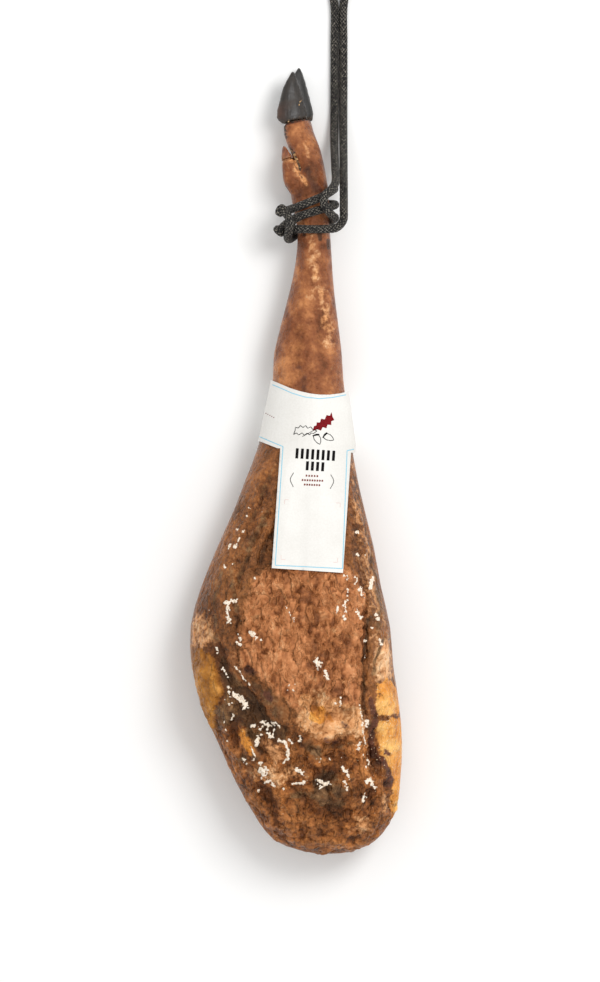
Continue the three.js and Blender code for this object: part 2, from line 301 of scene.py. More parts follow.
def black_polyester_braid():
    material, tree, shader = blank_material("black_polyester_braid")
    place = add(tree, "UVMap", {}, uv_map="braid")
    around, along = (add(tree, "SeparateXYZ", {0: place}, k) for k in (0, 1))
    slant = add(tree, "Math", {0: along, 1: PLAIT_LENGTH}, operation="DIVIDE")
    halves = []
    for way in ("ADD", "SUBTRACT"):
        total = add(tree, "Math", {0: around, 1: slant}, operation=way)
        plaits = add(tree, "Math", {0: total, 1: PLAITS}, operation="MULTIPLY")
        whole = add(tree, "Math", {0: plaits}, operation="FLOOR")
        share = add(tree, "Math", {0: plaits}, operation="FRACT")
        crown = add(tree, "Math", {0: share, 1: 0.5}, operation="PINGPONG")
        round_top = add(tree, "MapRange", {0: crown, 2: 0.5}, interpolation_type="SMOOTHSTEP")
        across = add(tree, "Math", {0: share, 1: 2 * math.pi * PLAIT_THREADS}, operation="MULTIPLY")
        halves.append((whole, round_top, add(tree, "Math", {0: across}, operation="SINE")))
    (left, left_top, left_wave), (right, right_top, right_wave) = halves
    count = add(tree, "Math", {0: left, 1: right})
    odd = add(tree, "Math", {0: count, 1: 2}, operation="FLOORED_MODULO")
    plait = add(tree, "Mix", {0: odd, 2: right_top, 3: left_top})
    threads = add(tree, "Mix", {0: odd, 2: right_wave, 3: left_wave})
    height = add(tree, "Math", {0: threads, 1: THREAD_SHARE, 2: plait}, operation="MULTIPLY_ADD")
    dust = add(tree, "TexNoise", {"Vector": object_place(tree), "Scale": DUST_PER_METRE, "Detail": 4})
    # dust flecks and painted highlight on the plait crowns, painted shade in the gaps between them
    dust_and_crown_highlight = add(tree, "Math", {0: dust, 1: height}, operation="MULTIPLY")
    blacks = [(0.08, "#030202"), (0.38, "#171412"), (0.60, "#a39b8e")]
    relief = add(tree, "Bump", {"Height": height, "Distance": 0.0009, "Strength": 1.0})
    plug(tree, shader, {
        "Base Color": add(tree, "ValToRGB", {0: dust_and_crown_highlight}, stops=blacks), "Normal": relief,
        "Roughness": 0.66, "IOR": 1.4, "Sheen Weight": 0.03,
    })  # fmt: skip
    return material


cord.data.materials.append(black_polyester_braid())

# %% [markdown]
# ## Table and light
# A cured leg looks best in broad light: one big soft source from the upper right models the creases
# and puts small glints on the fat, and a bright even surround fills the rest. The table is matt white.

# %% Floor, surround and soft box
bpy.ops.mesh.primitive_plane_add(size=6, location=(0, 0, 0))
floor = bpy.context.object
floor.name = "table_top"
bpy.ops.object.mode_set(mode="EDIT")
bpy.ops.mesh.subdivide(number_cuts=3)
bpy.ops.object.mode_set(mode="OBJECT")
bpy.ops.object.select_all(action="DESELECT")

matt_white, tree, shader = blank_material("matt_white_paint")
plug(tree, shader, {"Base Color": linear("#fbfbfa"), "Roughness": 0.9, "Specular IOR Level": 0.1})
floor.data.materials.append(matt_white)
floor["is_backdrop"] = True

surround = bpy.data.worlds.new("white_surround")
bpy.context.scene.world = surround
surround.use_nodes = True
sky = surround.node_tree.nodes["Background"]
plug(surround.node_tree, sky, {"Color": linear("#ffffff"), "Strength": 0.82})


def soft_box(place, width, height, watts, target=(0, 0, 0.05)):
    light = bpy.data.objects.new("soft_box", bpy.data.lights.new("soft_box", "AREA"))
    bpy.context.collection.objects.link(light)
    light.data.shape = "RECTANGLE"
    light.data.size, light.data.size_y = width, height
    light.data.energy = watts
    light.location = place
    light.rotation_euler = (Vector(target) - Vector(place)).to_track_quat("-Z", "Y").to_euler()


soft_box((0.9, 0.7, 2.1), 0.8, 1.0, 25)
bpy.context.scene.view_settings.view_transform = "Standard"
print("table and light placed")

# %% [markdown]
# ## The leg, as a surface fine enough to carve
# The measured leg has long triangles, which is right for its size but too coarse for creases. Its copy
# is merged, then remeshed into small even squares, which smooths the seams between its sections. The
# squares are just under 2 mm, so a crease of 5 mm has three of them across.


# %% Copy, merge and remesh
def pick(made):
    bpy.ops.object.select_all(action="DESELECT")
    made.select_set(True)
    bpy.context.view_layer.objects.active = made


def open_copy(name, node):
    made = bpy.data.objects.new(name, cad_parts[node].data.copy())
    bpy.context.collection.objects.link(made)
    pick(made)
    made.data.materials.clear()
    bpy.ops.object.mode_set(mode="EDIT")
    bpy.ops.mesh.select_all(action="SELECT")
    bpy.ops.mesh.remove_doubles(threshold=0.00001)
    bpy.ops.object.mode_set(mode="OBJECT")
    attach(made, "root")
    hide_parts(node)
    return made


def finish_with(made, kind, **settings):
    modifier = made.modifiers.new(kind.lower(), kind)
    for name, value in settings.items():
        setattr(modifier, name, value)
    bpy.ops.object.modifier_apply(modifier=modifier.name)


def vectors_of(made, kind):
    flat = np.empty(len(made.data.vertices) * 3)
    made.data.vertices.foreach_get(kind, flat)
    return flat.reshape(-1, 3)


def points_of(made):
    return vectors_of(made, "co") / MM


def move_to(made, points):
    made.data.vertices.foreach_set("co", (points * MM).ravel())
    made.data.update()


def remeshed(made, voxel_mm, smoothings):
    finish_with(made, "REMESH", mode="VOXEL", voxel_size=voxel_mm * MM)
    finish_with(made, "SMOOTH", factor=0.5, iterations=smoothings)
    made.data.polygons.foreach_set("use_smooth", [True] * len(made.data.polygons))
    return points_of(made), vectors_of(made, "normal")


leg = open_copy("cured_leg", "ham")
flesh, facing = remeshed(leg, 1.89, 12)
print("leg faces", len(leg.data.polygons))

# %% [markdown]
# ## Tools for carving
# A crease is a line on the flesh with a width and a depth. What is needed for it is each point's
# distance from the line. The points are first pushed about by noise, which makes every line and every
# edge wander as a grown one does. The same distances are used later, to colour the flesh.


# %% Distances and wandering
def noise_at(points, scale, octaves=4, stretch=(1, 1, 1), shift=0.0):
    size = np.array(stretch) * scale
    return np.array([noise.fractal(Vector(p), 0.9, 2.0, octaves) for p in points / size + shift])


def push_at(points, scale, shift=0.0):
    return np.array([noise.noise_vector(Vector(p)) for p in points / scale + shift])


def line_distance(points, line, closed=False):
    line = np.array([*line, line[0]] if closed else line, float)
    nearest = np.full(len(points), np.inf)
    for a, b in zip(line[:-1], line[1:]):
        run = b - a
        share = np.clip(((points - a) @ run) / max(run @ run, 1e-9), 0, 1)
        nearest = np.minimum(nearest, np.linalg.norm(points - a - share[:, None] * run, axis=1))
    return nearest


def inside_distance(points, outline):
    # positive inside the outline, negative outside it
    inside = np.zeros(len(points), bool)
    corners = np.array(outline, float)
    for (ax, ay), (bx, by) in zip(corners, np.roll(corners, -1, axis=0)):
        crosses = (ay > points[:, 1]) != (by > points[:, 1])
        at = ax + (points[:, 1] - ay) / ((by - ay) or 1e-9) * (bx - ax)
        inside ^= crosses & (points[:, 0] < at)
    return np.where(inside, 1, -1) * line_distance(points, outline, closed=True)


upward = rise(facing[:, 2], 0.0, 0.35)
wander = flesh[:, :2] + 3.2 * push_at(flesh, 16)[:, :2] + 1.1 * push_at(flesh, 5, 7)[:, :2]
print("leg points that face up", round(float(upward.sum())))

# %% [markdown]
# ## Creases and swellings
# Drying shrinks the lean more than the fat, so the flesh side sinks into creases along the borders of
# the muscles, and the hip bone and the fat at the right stand proud. Each line below gives its width
# and its height in millimetres, where a negative height cuts in.

# %% Lines to carve
LEAN = [(-39, -115), (-12, -96), (49, -100), (70, -130), (70, -180), (66, -230), (62, -253), (34, -248),
        (4, -256), (-12, -240), (-35, -220), (-57, -208), (-57, -180), (-50, -140)]  # fmt: skip
RIGHT_CREASE = [(72, -130), (70, -150), (70, -168), (69, -184), (68, -213), (67, -237), (70, -263),
                (74, -289), (81, -305), (90, -328), (95, -352)]  # fmt: skip
SIDE_CREASE = [(-82, -190), (-76, -208), (-69, -222), (-57, -240), (-45, -252), (-33, -264), (-22, -276)]
carved = [
    (SIDE_CREASE, 6.5, -4.0),
    (RIGHT_CREASE, 2.4, -2.6),
    ([(80, -150), (86, -200), (90, -240), (93, -290), (97, -330)], 12, 2.2),
    ([(84, -180), (78, -205), (77, -215)], 3.0, -1.8),
    ([(8, -254), (22, -263), (39, -268), (54, -268), (66, -263)], 7, 3.0),
    ([(5, -243), (22, -250), (40, -254), (60, -252)], 6, -0.7),
    ([(78, -259), (92, -261), (106, -259)], 2.4, -2.2),
    ([(-75, -230), (-77, -244), (-82, -253), (-80, -276)], 3.4, -2.2),
    ([(-94, -215), (-95, -240), (-90, -262)], 11, 2.4),
    ([(-54, -223), (-45, -238), (-33, -253)], 3.5, -1.8),
    ([(-24, -236), (-14, -254)], 8, 2.2),
    ([(-22, -291), (-22, -293)], 11, 2.6),
    ([(-62, -262), (-66, -275), (-60, -286)], 4, -2.4),
    ([(-55, -276), (-46, -296)], 5, 2.0),
    ([(-14, -55), (-29, -80), (-42, -110)], 3.0, -2.0),
    ([(-27, -55), (-47, -90), (-61, -125)], 3.4, -2.2),
    ([(-27, -19), (-45, -60), (-59, -100)], 4.4, -1.8),
    ([(-60, -100), (-63, -140), (-58, -185)], 3.6, -1.1),
    ([(-12, -100), (-17, -150), (-22, -190)], 4, -0.8),
    ([(4, -110), (2, -150), (-6, -195)], 3.4, -0.6),
    ([(20, -120), (23, -150), (14, -185)], 3.4, -0.6),
    ([(34, -105), (38, -160), (32, -200)], 3.0, -0.9),
    ([(50, -110), (53, -180), (47, -235)], 3.0, -1.0),
    ([(-39, -120), (-43, -160), (-33, -200)], 3.4, -0.8),
    ([(61, -20), (72, -60), (80, -110)], 4, -1.3),
    ([(58, -60), (64, -95), (66, -130)], 3.4, -1.2),
    ([(4, -354), (34, -361), (64, -354)], 5, -1.6),
    ([(-42, -332), (-22, -358), (4, -379)], 6, -1.4),
    ([(14, -312), (30, -322), (46, -316)], 7, -2.0),
    ([(4, 133), (2, 102)], 6, -1.2),
    ([(22, 150), (26, 110)], 5, -0.8),
    ([(13, 320), (20, 300), (28, 275)], 3.5, -1.0),
    ([(6, 335), (14, 322), (22, 318)], 2.4, -0.7),
    ([(12.7, 316.9), (17.8, 329.2)], 2.0, 0.7),
    ([(6.6, 306.8), (11.7, 319), (15.8, 327.1)], 2.0, 0.7),
    ([(11.7, 276.2), (17.8, 284.3), (23.9, 288.4)], 2.2, 0.7),
    ([(1.5, 296), (6.6, 306), (8.6, 318)], 1.8, -0.6),
    ([(-48, -268), (-38, -262), (-30, -270)], 3, -1.2),
    ([(40, -292), (52, -300), (58, -316)], 3, -1.3),
    ([(8, -300), (18, -310), (34, -312)], 3, -1.2),
    ([(26, -284), (40, -288), (54, -284)], 3, -1.0),
]
depth = np.zeros(len(flesh))
for line, width, height in carved:
    depth += height * np.exp(-((line_distance(wander, line) / width) ** 2)) * upward
print("carved from", round(depth.min(), 1), "to", round(depth.max(), 1), "mm")

# %% [markdown]
# ## Wrinkles and lumps
# The lean in the middle is crinkled like bark: folds that run along the leg about 8 mm apart, broken
# by finer ones. Below the hip the flesh is lumpy. The rind behind is almost smooth. Ridged noise makes
# folds with sharp crests, and it is stretched along the leg because the muscle fibres run that way.
# Under the card and the cord the flesh is left low and smooth, so that nothing pokes through them.

# %% Wrinkles and lumps
RIGHT_FAT = [(78, -263), (114, -259), (114, -318), (95, -354), (90, -312), (79, -276)]
FOLD_SIZE = (8, 15, 10)
lean = rise(inside_distance(wander, LEAN), -6, 7) * upward
off_right_fat = 1 - rise(inside_distance(wander, RIGHT_FAT), -4, 4)
low_end = rise(-flesh[:, 1], 245, 285) * upward * off_right_fat
thigh = rise(-flesh[:, 1], -10, 60) * upward
bent = flesh + 4.0 * push_at(flesh, 22, 3)
folds = np.array([noise.ridged_multi_fractal(Vector(p), 0.9, 2.1, 4, 1.0, 2.0) for p in bent / FOLD_SIZE])
folds -= folds.mean()
crinkle = noise_at(bent, 5.6, 3, (1, 1.2, 1), 11)
lumps = noise_at(flesh, 15, 3, (1, 1.2, 1), 23)
broad = noise_at(flesh, 38, 2, (1, 1.5, 1), 31)
depth += folds * (0.6 * lean + 0.5 * thigh + 0.3 * low_end)
depth += crinkle * (1.3 * lean + 0.8 * thigh + 0.6 * low_end + 0.04)
depth += lumps * (2.6 * low_end + 0.7 * thigh + 0.15)
depth += broad * (1.6 * thigh + 0.35)
print("folds from", round(folds.min(), 1), "to", round(folds.max(), 1), "mm")

# %% Room under the card and the cord, then move the surface
LABEL_MIDDLE = (24, 74)
LABEL_TILT = -0.07
LABEL_ROOM = 0.25
PASTERN_NARROWER = 3.2


def label_place(points):
    # across and down the label, from the middle of its upper edge
    turn = math.cos(LABEL_TILT), math.sin(LABEL_TILT)
    x, y = points[:, 0] - LABEL_MIDDLE[0], points[:, 1] - LABEL_MIDDLE[1]
    return x * turn[0] + y * turn[1], -x * turn[1] + y * turn[0]


across, down = label_place(flesh)
in_band = rise(down, -72, -64) * (1 - rise(down, 10, 18))
in_tongue = rise(down, -190, -185) * (1 - rise(down, -66, -58)) * upward
in_tongue = in_tongue * (1 - rise(np.abs(across), 36, 41))
covered = np.maximum(in_band, in_tongue)
depth = np.where(depth > -LABEL_ROOM, depth * (1 - covered) - LABEL_ROOM * covered, depth)
near_hoof = rise(flesh[:, 1], 330, 342)
under_cord = rise(flesh[:, 1], 218, 226) * (1 - rise(flesh[:, 1], 282, 290))
depth = depth * (1 - 0.8 * near_hoof) * (1 - 0.7 * under_cord)
sideways = 1 - rise(np.abs(facing[:, 2]), 0.0, 0.3)
depth = np.clip(depth, -6, 4) * (1 - 0.6 * sideways)
depth *= rise(flesh[:, 2], 0.4, 3.0)
carved_flesh = flesh + facing * depth[:, None]
carved_flesh[:, 0] -= PASTERN_NARROWER * rise(flesh[:, 0], 4, 16) * rise(flesh[:, 1], 318, 346)
move_to(leg, carved_flesh)
print("leg surface moved by", round(np.abs(depth).mean(), 2), "mm on average")

# %% [markdown]
# ## Where each colour lies
# Lean, fat, mould and skin each have their own place on a ham. The places are stored on the mesh as
# plain numbers from 0 to 1, one attribute for each, and the material later breaks their edges up with
# fine noise. An outline gives a patch and a line gives a streak.

# %% Patches and streaks
# the left fat: colours darker than the golden fat's, as painted shade for the side turned from the light
SHADED_LEFT_FAT = [
    ([(-111, -186), (-97, -190), (-85, -200), (-78, -216), (-74, -230), (-76, -242), (-81, -252),
      (-83, -260), (-81, -272), (-80, -289), (-90, -276), (-101, -246), (-111, -212)], 1.0),
]  # fmt: skip
GOLDEN_FAT = [
    # the first patch, on the hip ridge, is partly fat and partly painted highlight
    ([(14, -246), (26, -247), (35, -254), (35, -262), (22, -264), (13, -258)], 0.7),
    ([(-61, -268), (-54, -270), (-48, -278), (-44, -288), (-43, -300), (-48, -297), (-54, -286),
      (-59, -278)], 1.0),
    ([(78, -263), (114, -259), (114, -318), (106, -342), (100, -361), (95, -354), (96, -342),
      (97, -328), (90, -312), (85, -298), (82, -286), (79, -276)], 1.0),
    ([(81, -224), (90, -220), (99, -224), (106, -240), (106, -258), (81, -258), (80, -240)], 0.8),
]  # fmt: skip
# pale amber patches; the first, on the hip ridge, is partly pale flesh and partly painted highlight
AMBER_AND_RIDGE_HIGHLIGHT = [
    ([(4, -236), (20, -232), (38, -239), (54, -246), (68, -250), (70, -273), (44, -278), (20, -277),
      (2, -266)], 1.0),
    ([(-111, -152), (-83, -158), (-79, -180), (-92, -190), (-111, -188)], 0.65),
    ([(76, -180), (96, -180), (106, -220), (82, -224), (76, -212)], 0.65),
    ([(88, -340), (96, -344), (96, -354), (88, -354)], 1.0),
    ([(61, -361), (71, -363), (71, -376), (63, -375)], 1.0),
    ([(-57, -303), (-35, -310), (4, -307), (12, -316), (-17, -328), (-47, -320)], 0.6),
    ([(-25, -279), (-15, -287), (-12, -299), (-22, -305), (-31, -297), (-31, -285)], 0.6),
    ([(56, 6), (70, -40), (82, -100), (90, -160), (80, -180), (72, -140), (62, -100), (56, -40)], 0.45),
]  # fmt: skip
MOULD = [
    ([(-84, -188), (-75, -200), (-65, -212), (-51, -224), (-39, -240), (-27, -257), (-12, -267),
      (-6, -277), (-12, -287), (-25, -279), (-35, -277), (-33, -293), (-39, -301), (-45, -286),
      (-52, -272), (-60, -263), (-69, -267), (-75, -279), (-81, -273), (-83, -257), (-76, -244),
      (-73, -230), (-78, -215)], 0.74),
    ([(17, -317), (29, -310), (44, -318), (51, -332), (50, -348), (39, -354), (24, -348), (12, -340),
      (-8, -342), (-10, -334), (4, -332), (16, -328)], 0.72),
    ([(4, -283), (16, -279), (29, -289), (26, -301), (14, -299), (7, -293)], 0.6),
    ([(-29, -228), (-20, -238), (-8, -248), (-6, -259), (-14, -263), (-25, -257), (-33, -244)], 0.55),
]  # fmt: skip
# dark seams and spots, and painted shade along the creases carved above: most of these lines follow a
# carved crease
DARK_SEAMS_AND_CREASE_SHADE = [
    ([(72, -160), (70, -185), (68, -205), (68, -230), (71, -251)], 1.3, 0.75),
    ([(74, -262), (75, -276), (78, -292), (86, -306), (92, -318)], 2.6, 0.95),
    ([(-63, -105), (-66, -125), (-60, -150)], 3.4, 0.55),
    ([(-14, -40), (-24, -70), (-38, -104)], 3.0, 0.55),
    ([(-27, -50), (-47, -88), (-61, -122)], 3.4, 0.6),
    ([(-24, -8), (-44, -56), (-58, -96)], 3.0, 0.45), ([(66, -40), (74, -80), (82, -120)], 3.0, 0.5),
    ([(-75, -115), (-83, -140), (-81, -180)], 4.0, 0.5),
    ([(80, -110), (83, -140), (81, -170)], 4.0, 0.6),
    ([(-6.5, 319), (-1, 311), (3.5, 299)], 1.5, 1.0),
    ([(-44, -222), (-36, -232), (-30, -240)], 3.4, 0.6),
    ([(26, -288), (42, -290), (56, -284)], 3.4, 0.5),
    ([(-46, -292), (-40, -308), (-30, -316)], 3.4, 0.5),
    ([(-54, -302), (-53, -303)], 6.0, 0.9),
    ([(-78, -205), (-66, -226), (-54, -243)], 3.0, 0.8),
    ([(84, -180), (78, -205), (77, -215)], 2.4, 0.7),
]  # fmt: skip
# golden streaks in the fold by the dewclaw, and on the shank two painted highlight streaks
PALE_STREAKS_AND_HIGHLIGHTS = [
    ([(-5.5, 307), (2.7, 295), (9.5, 281.5)], 3.0, 0.9), ([(9, 325), (13, 312)], 3.0, 0.5),
    ([(16, 228), (20, 200), (17, 170)], 5.0, 0.45), ([(26, 180), (30, 150), (34, 120)], 5.0, 0.5),
]  # fmt: skip
PURPLE = [
    ([(76, -244), (79, -256), (77, -271), (76, -286), (82, -298), (90, -312), (96, -326)], 3.6, 0.95),
    ([(-50, -209), (-45, -213)], 4.5, 0.9), ([(-30, -235), (-26, -239)], 3.0, 0.8),
    ([(89, -293), (91, -296)], 3.0, 0.8), ([(92, -325), (92, -326)], 4.0, 1.0),
    ([(46, -266), (54, -268)], 4.0, 0.4), ([(32, -282), (40, -286)], 6.0, 0.6),
    ([(3, 94), (7, 82), (10, 70)], 6.0, 0.6), ([(-14, 60), (-18, 30)], 5.0, 0.4),
    ([(10, 294), (18, 284), (26, 276)], 7.0, 0.7), ([(-2, 276), (6, 270)], 5.0, 0.6),
]  # fmt: skip
SCORCHED = [
    [(21, 235), (26, 235), (26, 224), (22, 224)], [(30.5, 227), (35.5, 227), (36, 216), (31, 216)],
    [(6.4, 233), (9.4, 233), (9.4, 229), (6.4, 229)],
]  # fmt: skip


def area(outlines, soft):
    found = np.zeros(len(wander))
    for outline, strength in outlines:
        found = np.maximum(found, strength * rise(inside_distance(wander, outline), -soft, soft))
    return found


def streak(lines):
    found = np.zeros(len(wander))
    for line, width, strength in lines:
        found = np.maximum(found, strength * np.exp(-((line_distance(wander, line) / width) ** 2)))
    return found


# %% Store them on the leg
def store(made, name, values):
    layer = made.data.attributes.new(name, "FLOAT", "POINT")
    layer.data.foreach_set("value", np.clip(values, 0, 1).astype(np.float32))


flat_flesh = flesh[:, :2]
scorch = np.max([rise(inside_distance(flat_flesh, patch), -0.8, 0.8) for patch in SCORCHED], axis=0)
heel_line = line_distance(flat_flesh, [(-15.5, 345), (-14.4, 339), (-12, 332)])
skin_line = rise(flesh[:, 1] - 0.25 * (flesh[:, 0] - 2.5), 345, 347.5)
right_side = rise(flesh[:, 0], 55, 75)
places = {
    "left_fat_shaded": area(SHADED_LEFT_FAT, 4.0) * rise(facing[:, 2], -0.5, -0.1),
    "fat": area(GOLDEN_FAT, 4.0) * rise(facing[:, 2], -0.5, -0.1),
    "amber_and_highlight": np.maximum(area(AMBER_AND_RIDGE_HIGHLIGHT, 8.0), streak(PALE_STREAKS_AND_HIGHLIGHTS)) * upward,
    # mould patches, and painted shade along the creases from the dark lines
    "mould_and_crease_shade": np.maximum(area(MOULD, 6.0), streak(DARK_SEAMS_AND_CREASE_SHADE)) * upward,
    "purple": streak(PURPLE) * upward,
    "lean": lean,
    "low_end": low_end,
    "shank": rise(flesh[:, 1], 0, 60),
    "rind": 1 - rise(facing[:, 2], -0.22, 0.12),
    "scorch": scorch * upward,
    # painted shade: the deeper a crease, the darker the material makes it
    "crease_depth_shade": 0.5 - depth / 6,
    "hoof_rim": np.maximum(skin_line, np.exp(-((heel_line / 2.2) ** 2))),
    "wrinkled": 0.12 + 0.85 * lean + 0.5 * thigh + 0.3 * low_end,
    "sweat": 0.5 * area(GOLDEN_FAT, 3.0) + 0.3 * low_end + 0.2 * right_side * thigh,
}
for name, values in places.items():
    store(leg, name, values)
    print(name, round(float(values.mean()), 3))

# %% [markdown]
# ## Cured meat and rind
# The surface of a cured leg is a dry crust of lean and fat that was rubbed with lard and wiped with
# oil, so it is a rough, mottled brown with a soft gloss. Its mottling has three sizes: clouds of 50 mm,
# blotches of 15 mm and a grain of 4 mm. The lean's own grain of 6 mm is drawn out along the fibres.
# Each place then lays its own colours over the crust, through an edge that fine noise frays.

# %% Patterns and colours of the flesh
# Each pattern: the size of its features in millimetres, its detail, and its scale along the leg.
MEAT_PATTERNS = {
    "clouds": (52, 4, 1), "blotches": (15, 6, 1), "grain": (4, 4, 1), "fibres": (6, 4, 0.6),
    "frays": (8, 7, 1),
}  # fmt: skip
CRUST = [(0.36, "#472b16"), (0.45, "#764927"), (0.54, "#9b6237"), (0.64, "#c48146")]
BRUISED = [(0.38, "#341b14"), (0.62, "#7c4a38")]
# Each place, from the lowest layer up: its pattern, how far its edge frays, how soft that edge is, and
# its colours from dark to light.
MEAT_LAYERS = [
    ("lean", "streaked", 1.2, 0.35,
     [(0.34, "#864d2e"), (0.44, "#bb784a"), (0.55, "#d9915f"), (0.68, "#f7bb86")]),
    ("low_end", "mottled", 1.2, 0.3,
     [(0.38, "#53301a"), (0.46, "#8f582e"), (0.54, "#b9753f"), (0.63, "#ec9d58")]),
    ("shank", "clouded", 0.8, 0.5,
     [(0.40, "#66371f"), (0.475, "#8a5032"), (0.54, "#a86a43"), (0.62, "#cf8c5a")]),
    ("rind", "mottled", 0.8, 0.35, [(0.36, "#553b22"), (0.5, "#84552b"), (0.64, "#b3773a")]),
    # amber layer: pale patches and streaks, part of them painted highlight
    ("amber_and_highlight", "mottled", 2.2, 0.5, [(0.36, "#b46e38"), (0.5, "#eeae76"), (0.64, "#ffdcb0")]),
    # the left fat's darker copy of the fat colours is painted shade
    ("left_fat_shaded", "clouded", 1.6, 0.16, [(0.38, "#84501a"), (0.5, "#ae7028"), (0.62, "#e3a04e")]),
    ("fat", "clouded", 1.6, 0.16, [(0.38, "#c0701f"), (0.5, "#f0a24a"), (0.62, "#ffc674")]),
    ("mould_and_crease_shade", "mottled", 2.6, 0.45, [(0.38, "#40291b"), (0.5, "#6f4f33"), (0.62, "#a87f56")]),
    ("purple", "mottled", 3.0, 0.5, BRUISED),
]  # fmt: skip


def frayed_place(tree, name, frays, fray, soft):
    # the place's number plus noise, cut at a half, so that its edge breaks up as far as fray says
    hold = max(1.0, fray)
    amount = add(tree, "Attribute", {}, "Fac", attribute_name=name)
    held = add(tree, "Math", {0: amount, 1: hold}, operation="MULTIPLY")
    shifted = add(tree, "Math", {0: frays, 1: 2 * fray, 2: held}, operation="MULTIPLY_ADD")
    edge = 0.5 * hold + fray
    return add(tree, "MapRange", {0: shifted, 1: edge - soft, 2: edge + soft})


# %% Material: cured meat, oiled
def meat_patterns(tree, where):
    found = {}
    for name, (size_mm, detail, along) in MEAT_PATTERNS.items():
        place = add(tree, "Mapping", {0: where, "Scale": (1, along, 1)})
        pattern = {"Vector": place, "Scale": 1000 / size_mm, "Detail": detail, "Roughness": 0.62}
        found[name] = add(tree, "TexNoise", pattern)
    found["clouded"] = add(tree, "Mix", {0: 0.5, 2: found["clouds"], 3: found["blotches"]})
    found["mottled"] = add(tree, "Mix", {0: 0.38, 2: found["clouded"], 3: found["grain"]})
    found["streaked"] = add(tree, "Mix", {0: 0.4, 2: found["fibres"], 3: found["blotches"]})
    return found


def fold_pattern(tree, where):
    # ridged noise has sharp crests: the lean is crinkled like bark, 11 mm from fold to fold
    drawn_out = add(tree, "Mapping", {0: where, "Scale": (1, 0.6, 1)})
    ridges = {"Vector": drawn_out, "Scale": 1000 / 11, "Detail": 3, "Roughness": 0.5}
    ridges |= {"Offset": 1.0, "Gain": 1.4, "Distortion": 0.15}
    crinkles = add(tree, "TexNoise", ridges, noise_type="RIDGED_MULTIFRACTAL")
    crests = add(tree, "MapRange", {0: crinkles, 1: 0.8, 2: 1.7, 3: -0.5, 4: 0.5})
    wrinkled = add(tree, "Attribute", {}, "Fac", attribute_name="wrinkled")
    return add(tree, "Math", {0: crests, 1: wrinkled}, operation="MULTIPLY")


def cured_meat_oiled():
    material, tree, shader = blank_material("cured_meat_oiled")
    where = object_place(tree)
    found = meat_patterns(tree, where)
    folded = fold_pattern(tree, where)
    colour = add(tree, "ValToRGB", {0: found["mottled"]}, stops=CRUST)
    for name, pattern, fray, soft, stops in MEAT_LAYERS:
        above = add(tree, "ValToRGB", {0: found[pattern]}, stops=stops)
        share = frayed_place(tree, name, found["frays"], fray, soft)
        colour = add(tree, "Mix", {0: share, 6: colour, 7: above}, 2, data_type="RGBA")
    burnt = frayed_place(tree, "scorch", found["frays"], 0.5, 0.25)
    burnt = add(tree, "Math", {0: burnt, 1: 0.82}, operation="MULTIPLY")
    colour = add(tree, "Mix", {0: burnt, 6: colour, 7: linear("#33211d")}, 2, data_type="RGBA")
    rim = frayed_place(tree, "hoof_rim", found["frays"], 0.4, 0.2)
    bruised = add(tree, "ValToRGB", {0: found["mottled"]}, stops=BRUISED)
    colour = add(tree, "Mix", {0: rim, 6: colour, 7: bruised}, 2, data_type="RGBA")

    # painted shade darkens the creases by their depth, painted highlight lightens the fold crests, and
    # the grain adds its own random tone
    crease_depth_shade = add(tree, "Attribute", {}, "Fac", attribute_name="crease_depth_shade")
    crease_shade_and_crest_highlight = add(tree, "Math", {0: folded, 1: -0.24, 2: crease_depth_shade}, operation="MULTIPLY_ADD")
    shade_highlight_and_grain = add(tree, "Math", {0: found["grain"], 1: -0.5, 2: crease_shade_and_crest_highlight}, operation="MULTIPLY_ADD")
    shades = [(0.0, "#ffffff"), (0.28, "#efe8e1"), (0.44, "#cfc2b4"), (0.66, "#8a7462")]
    shade = add(tree, "ValToRGB", {0: shade_highlight_and_grain}, stops=shades)
    shaded = {0: 0.9, 6: colour, 7: shade}
    colour = add(tree, "Mix", shaded, 2, data_type="RGBA", blend_type="MULTIPLY")

    # salt and fat sweat out in small specks, 3.4 mm apart, which dry pale on the fat and the lower end
    cells = add(tree, "TexVoronoi", {"Vector": where, "Scale": 1000 / 3.4}, "Distance")
    small = add(tree, "MapRange", {0: cells, 1: 0.1, 2: 0.2, 3: 1.0, 4: 0.0})
    sweating = frayed_place(tree, "sweat", found["clouds"], 0.9, 0.12)
    speck = add(tree, "Math", {0: small, 1: sweating}, operation="MULTIPLY")
    colour = add(tree, "Mix", {0: speck, 6: colour, 7: linear("#f2d3ae")}, 2, data_type="RGBA")

    # the oil film on the crust is yellow, which warms what it reflects
    fine = add(tree, "Mix", {0: 0.4, 2: found["blotches"], 3: found["grain"]})
    relief = add(tree, "Math", {0: folded, 1: 0.9, 2: fine}, operation="MULTIPLY_ADD")
    plug(tree, shader, {
        "Base Color": colour,
        "Normal": add(tree, "Bump", {"Height": relief, "Distance": 0.0045, "Strength": 1.0}),
        "Roughness": add(tree, "MapRange", {0: found["grain"], 1: 0.3, 2: 0.7, 3: 0.2, 4: 0.46}),
        "IOR": 1.40,
        "Specular Tint": linear("#ffe0bf"),
    })  # fmt: skip
    return material


leg.data.materials.append(cured_meat_oiled())

# %% [markdown]
# ## Dried flakes on the flesh
# White flakes of dried fat and crystallised protein stick to the flesh in ragged scraps, streaks and
# rings, a few tenths of a millimetre thick. Each one starts as a line with a width. A fine grid over
# it keeps the squares where noise says the scrap is whole, the grid is dropped on the finished leg, and
# a solidify modifier gives it its body, so no flake floats and no edge is straight.

# %% Drop a ragged film on a surface
FILM_CELL = 0.62
FILM_SINKS = 0.12  # its edge starts below the surface
FILM_BODY = 0.35


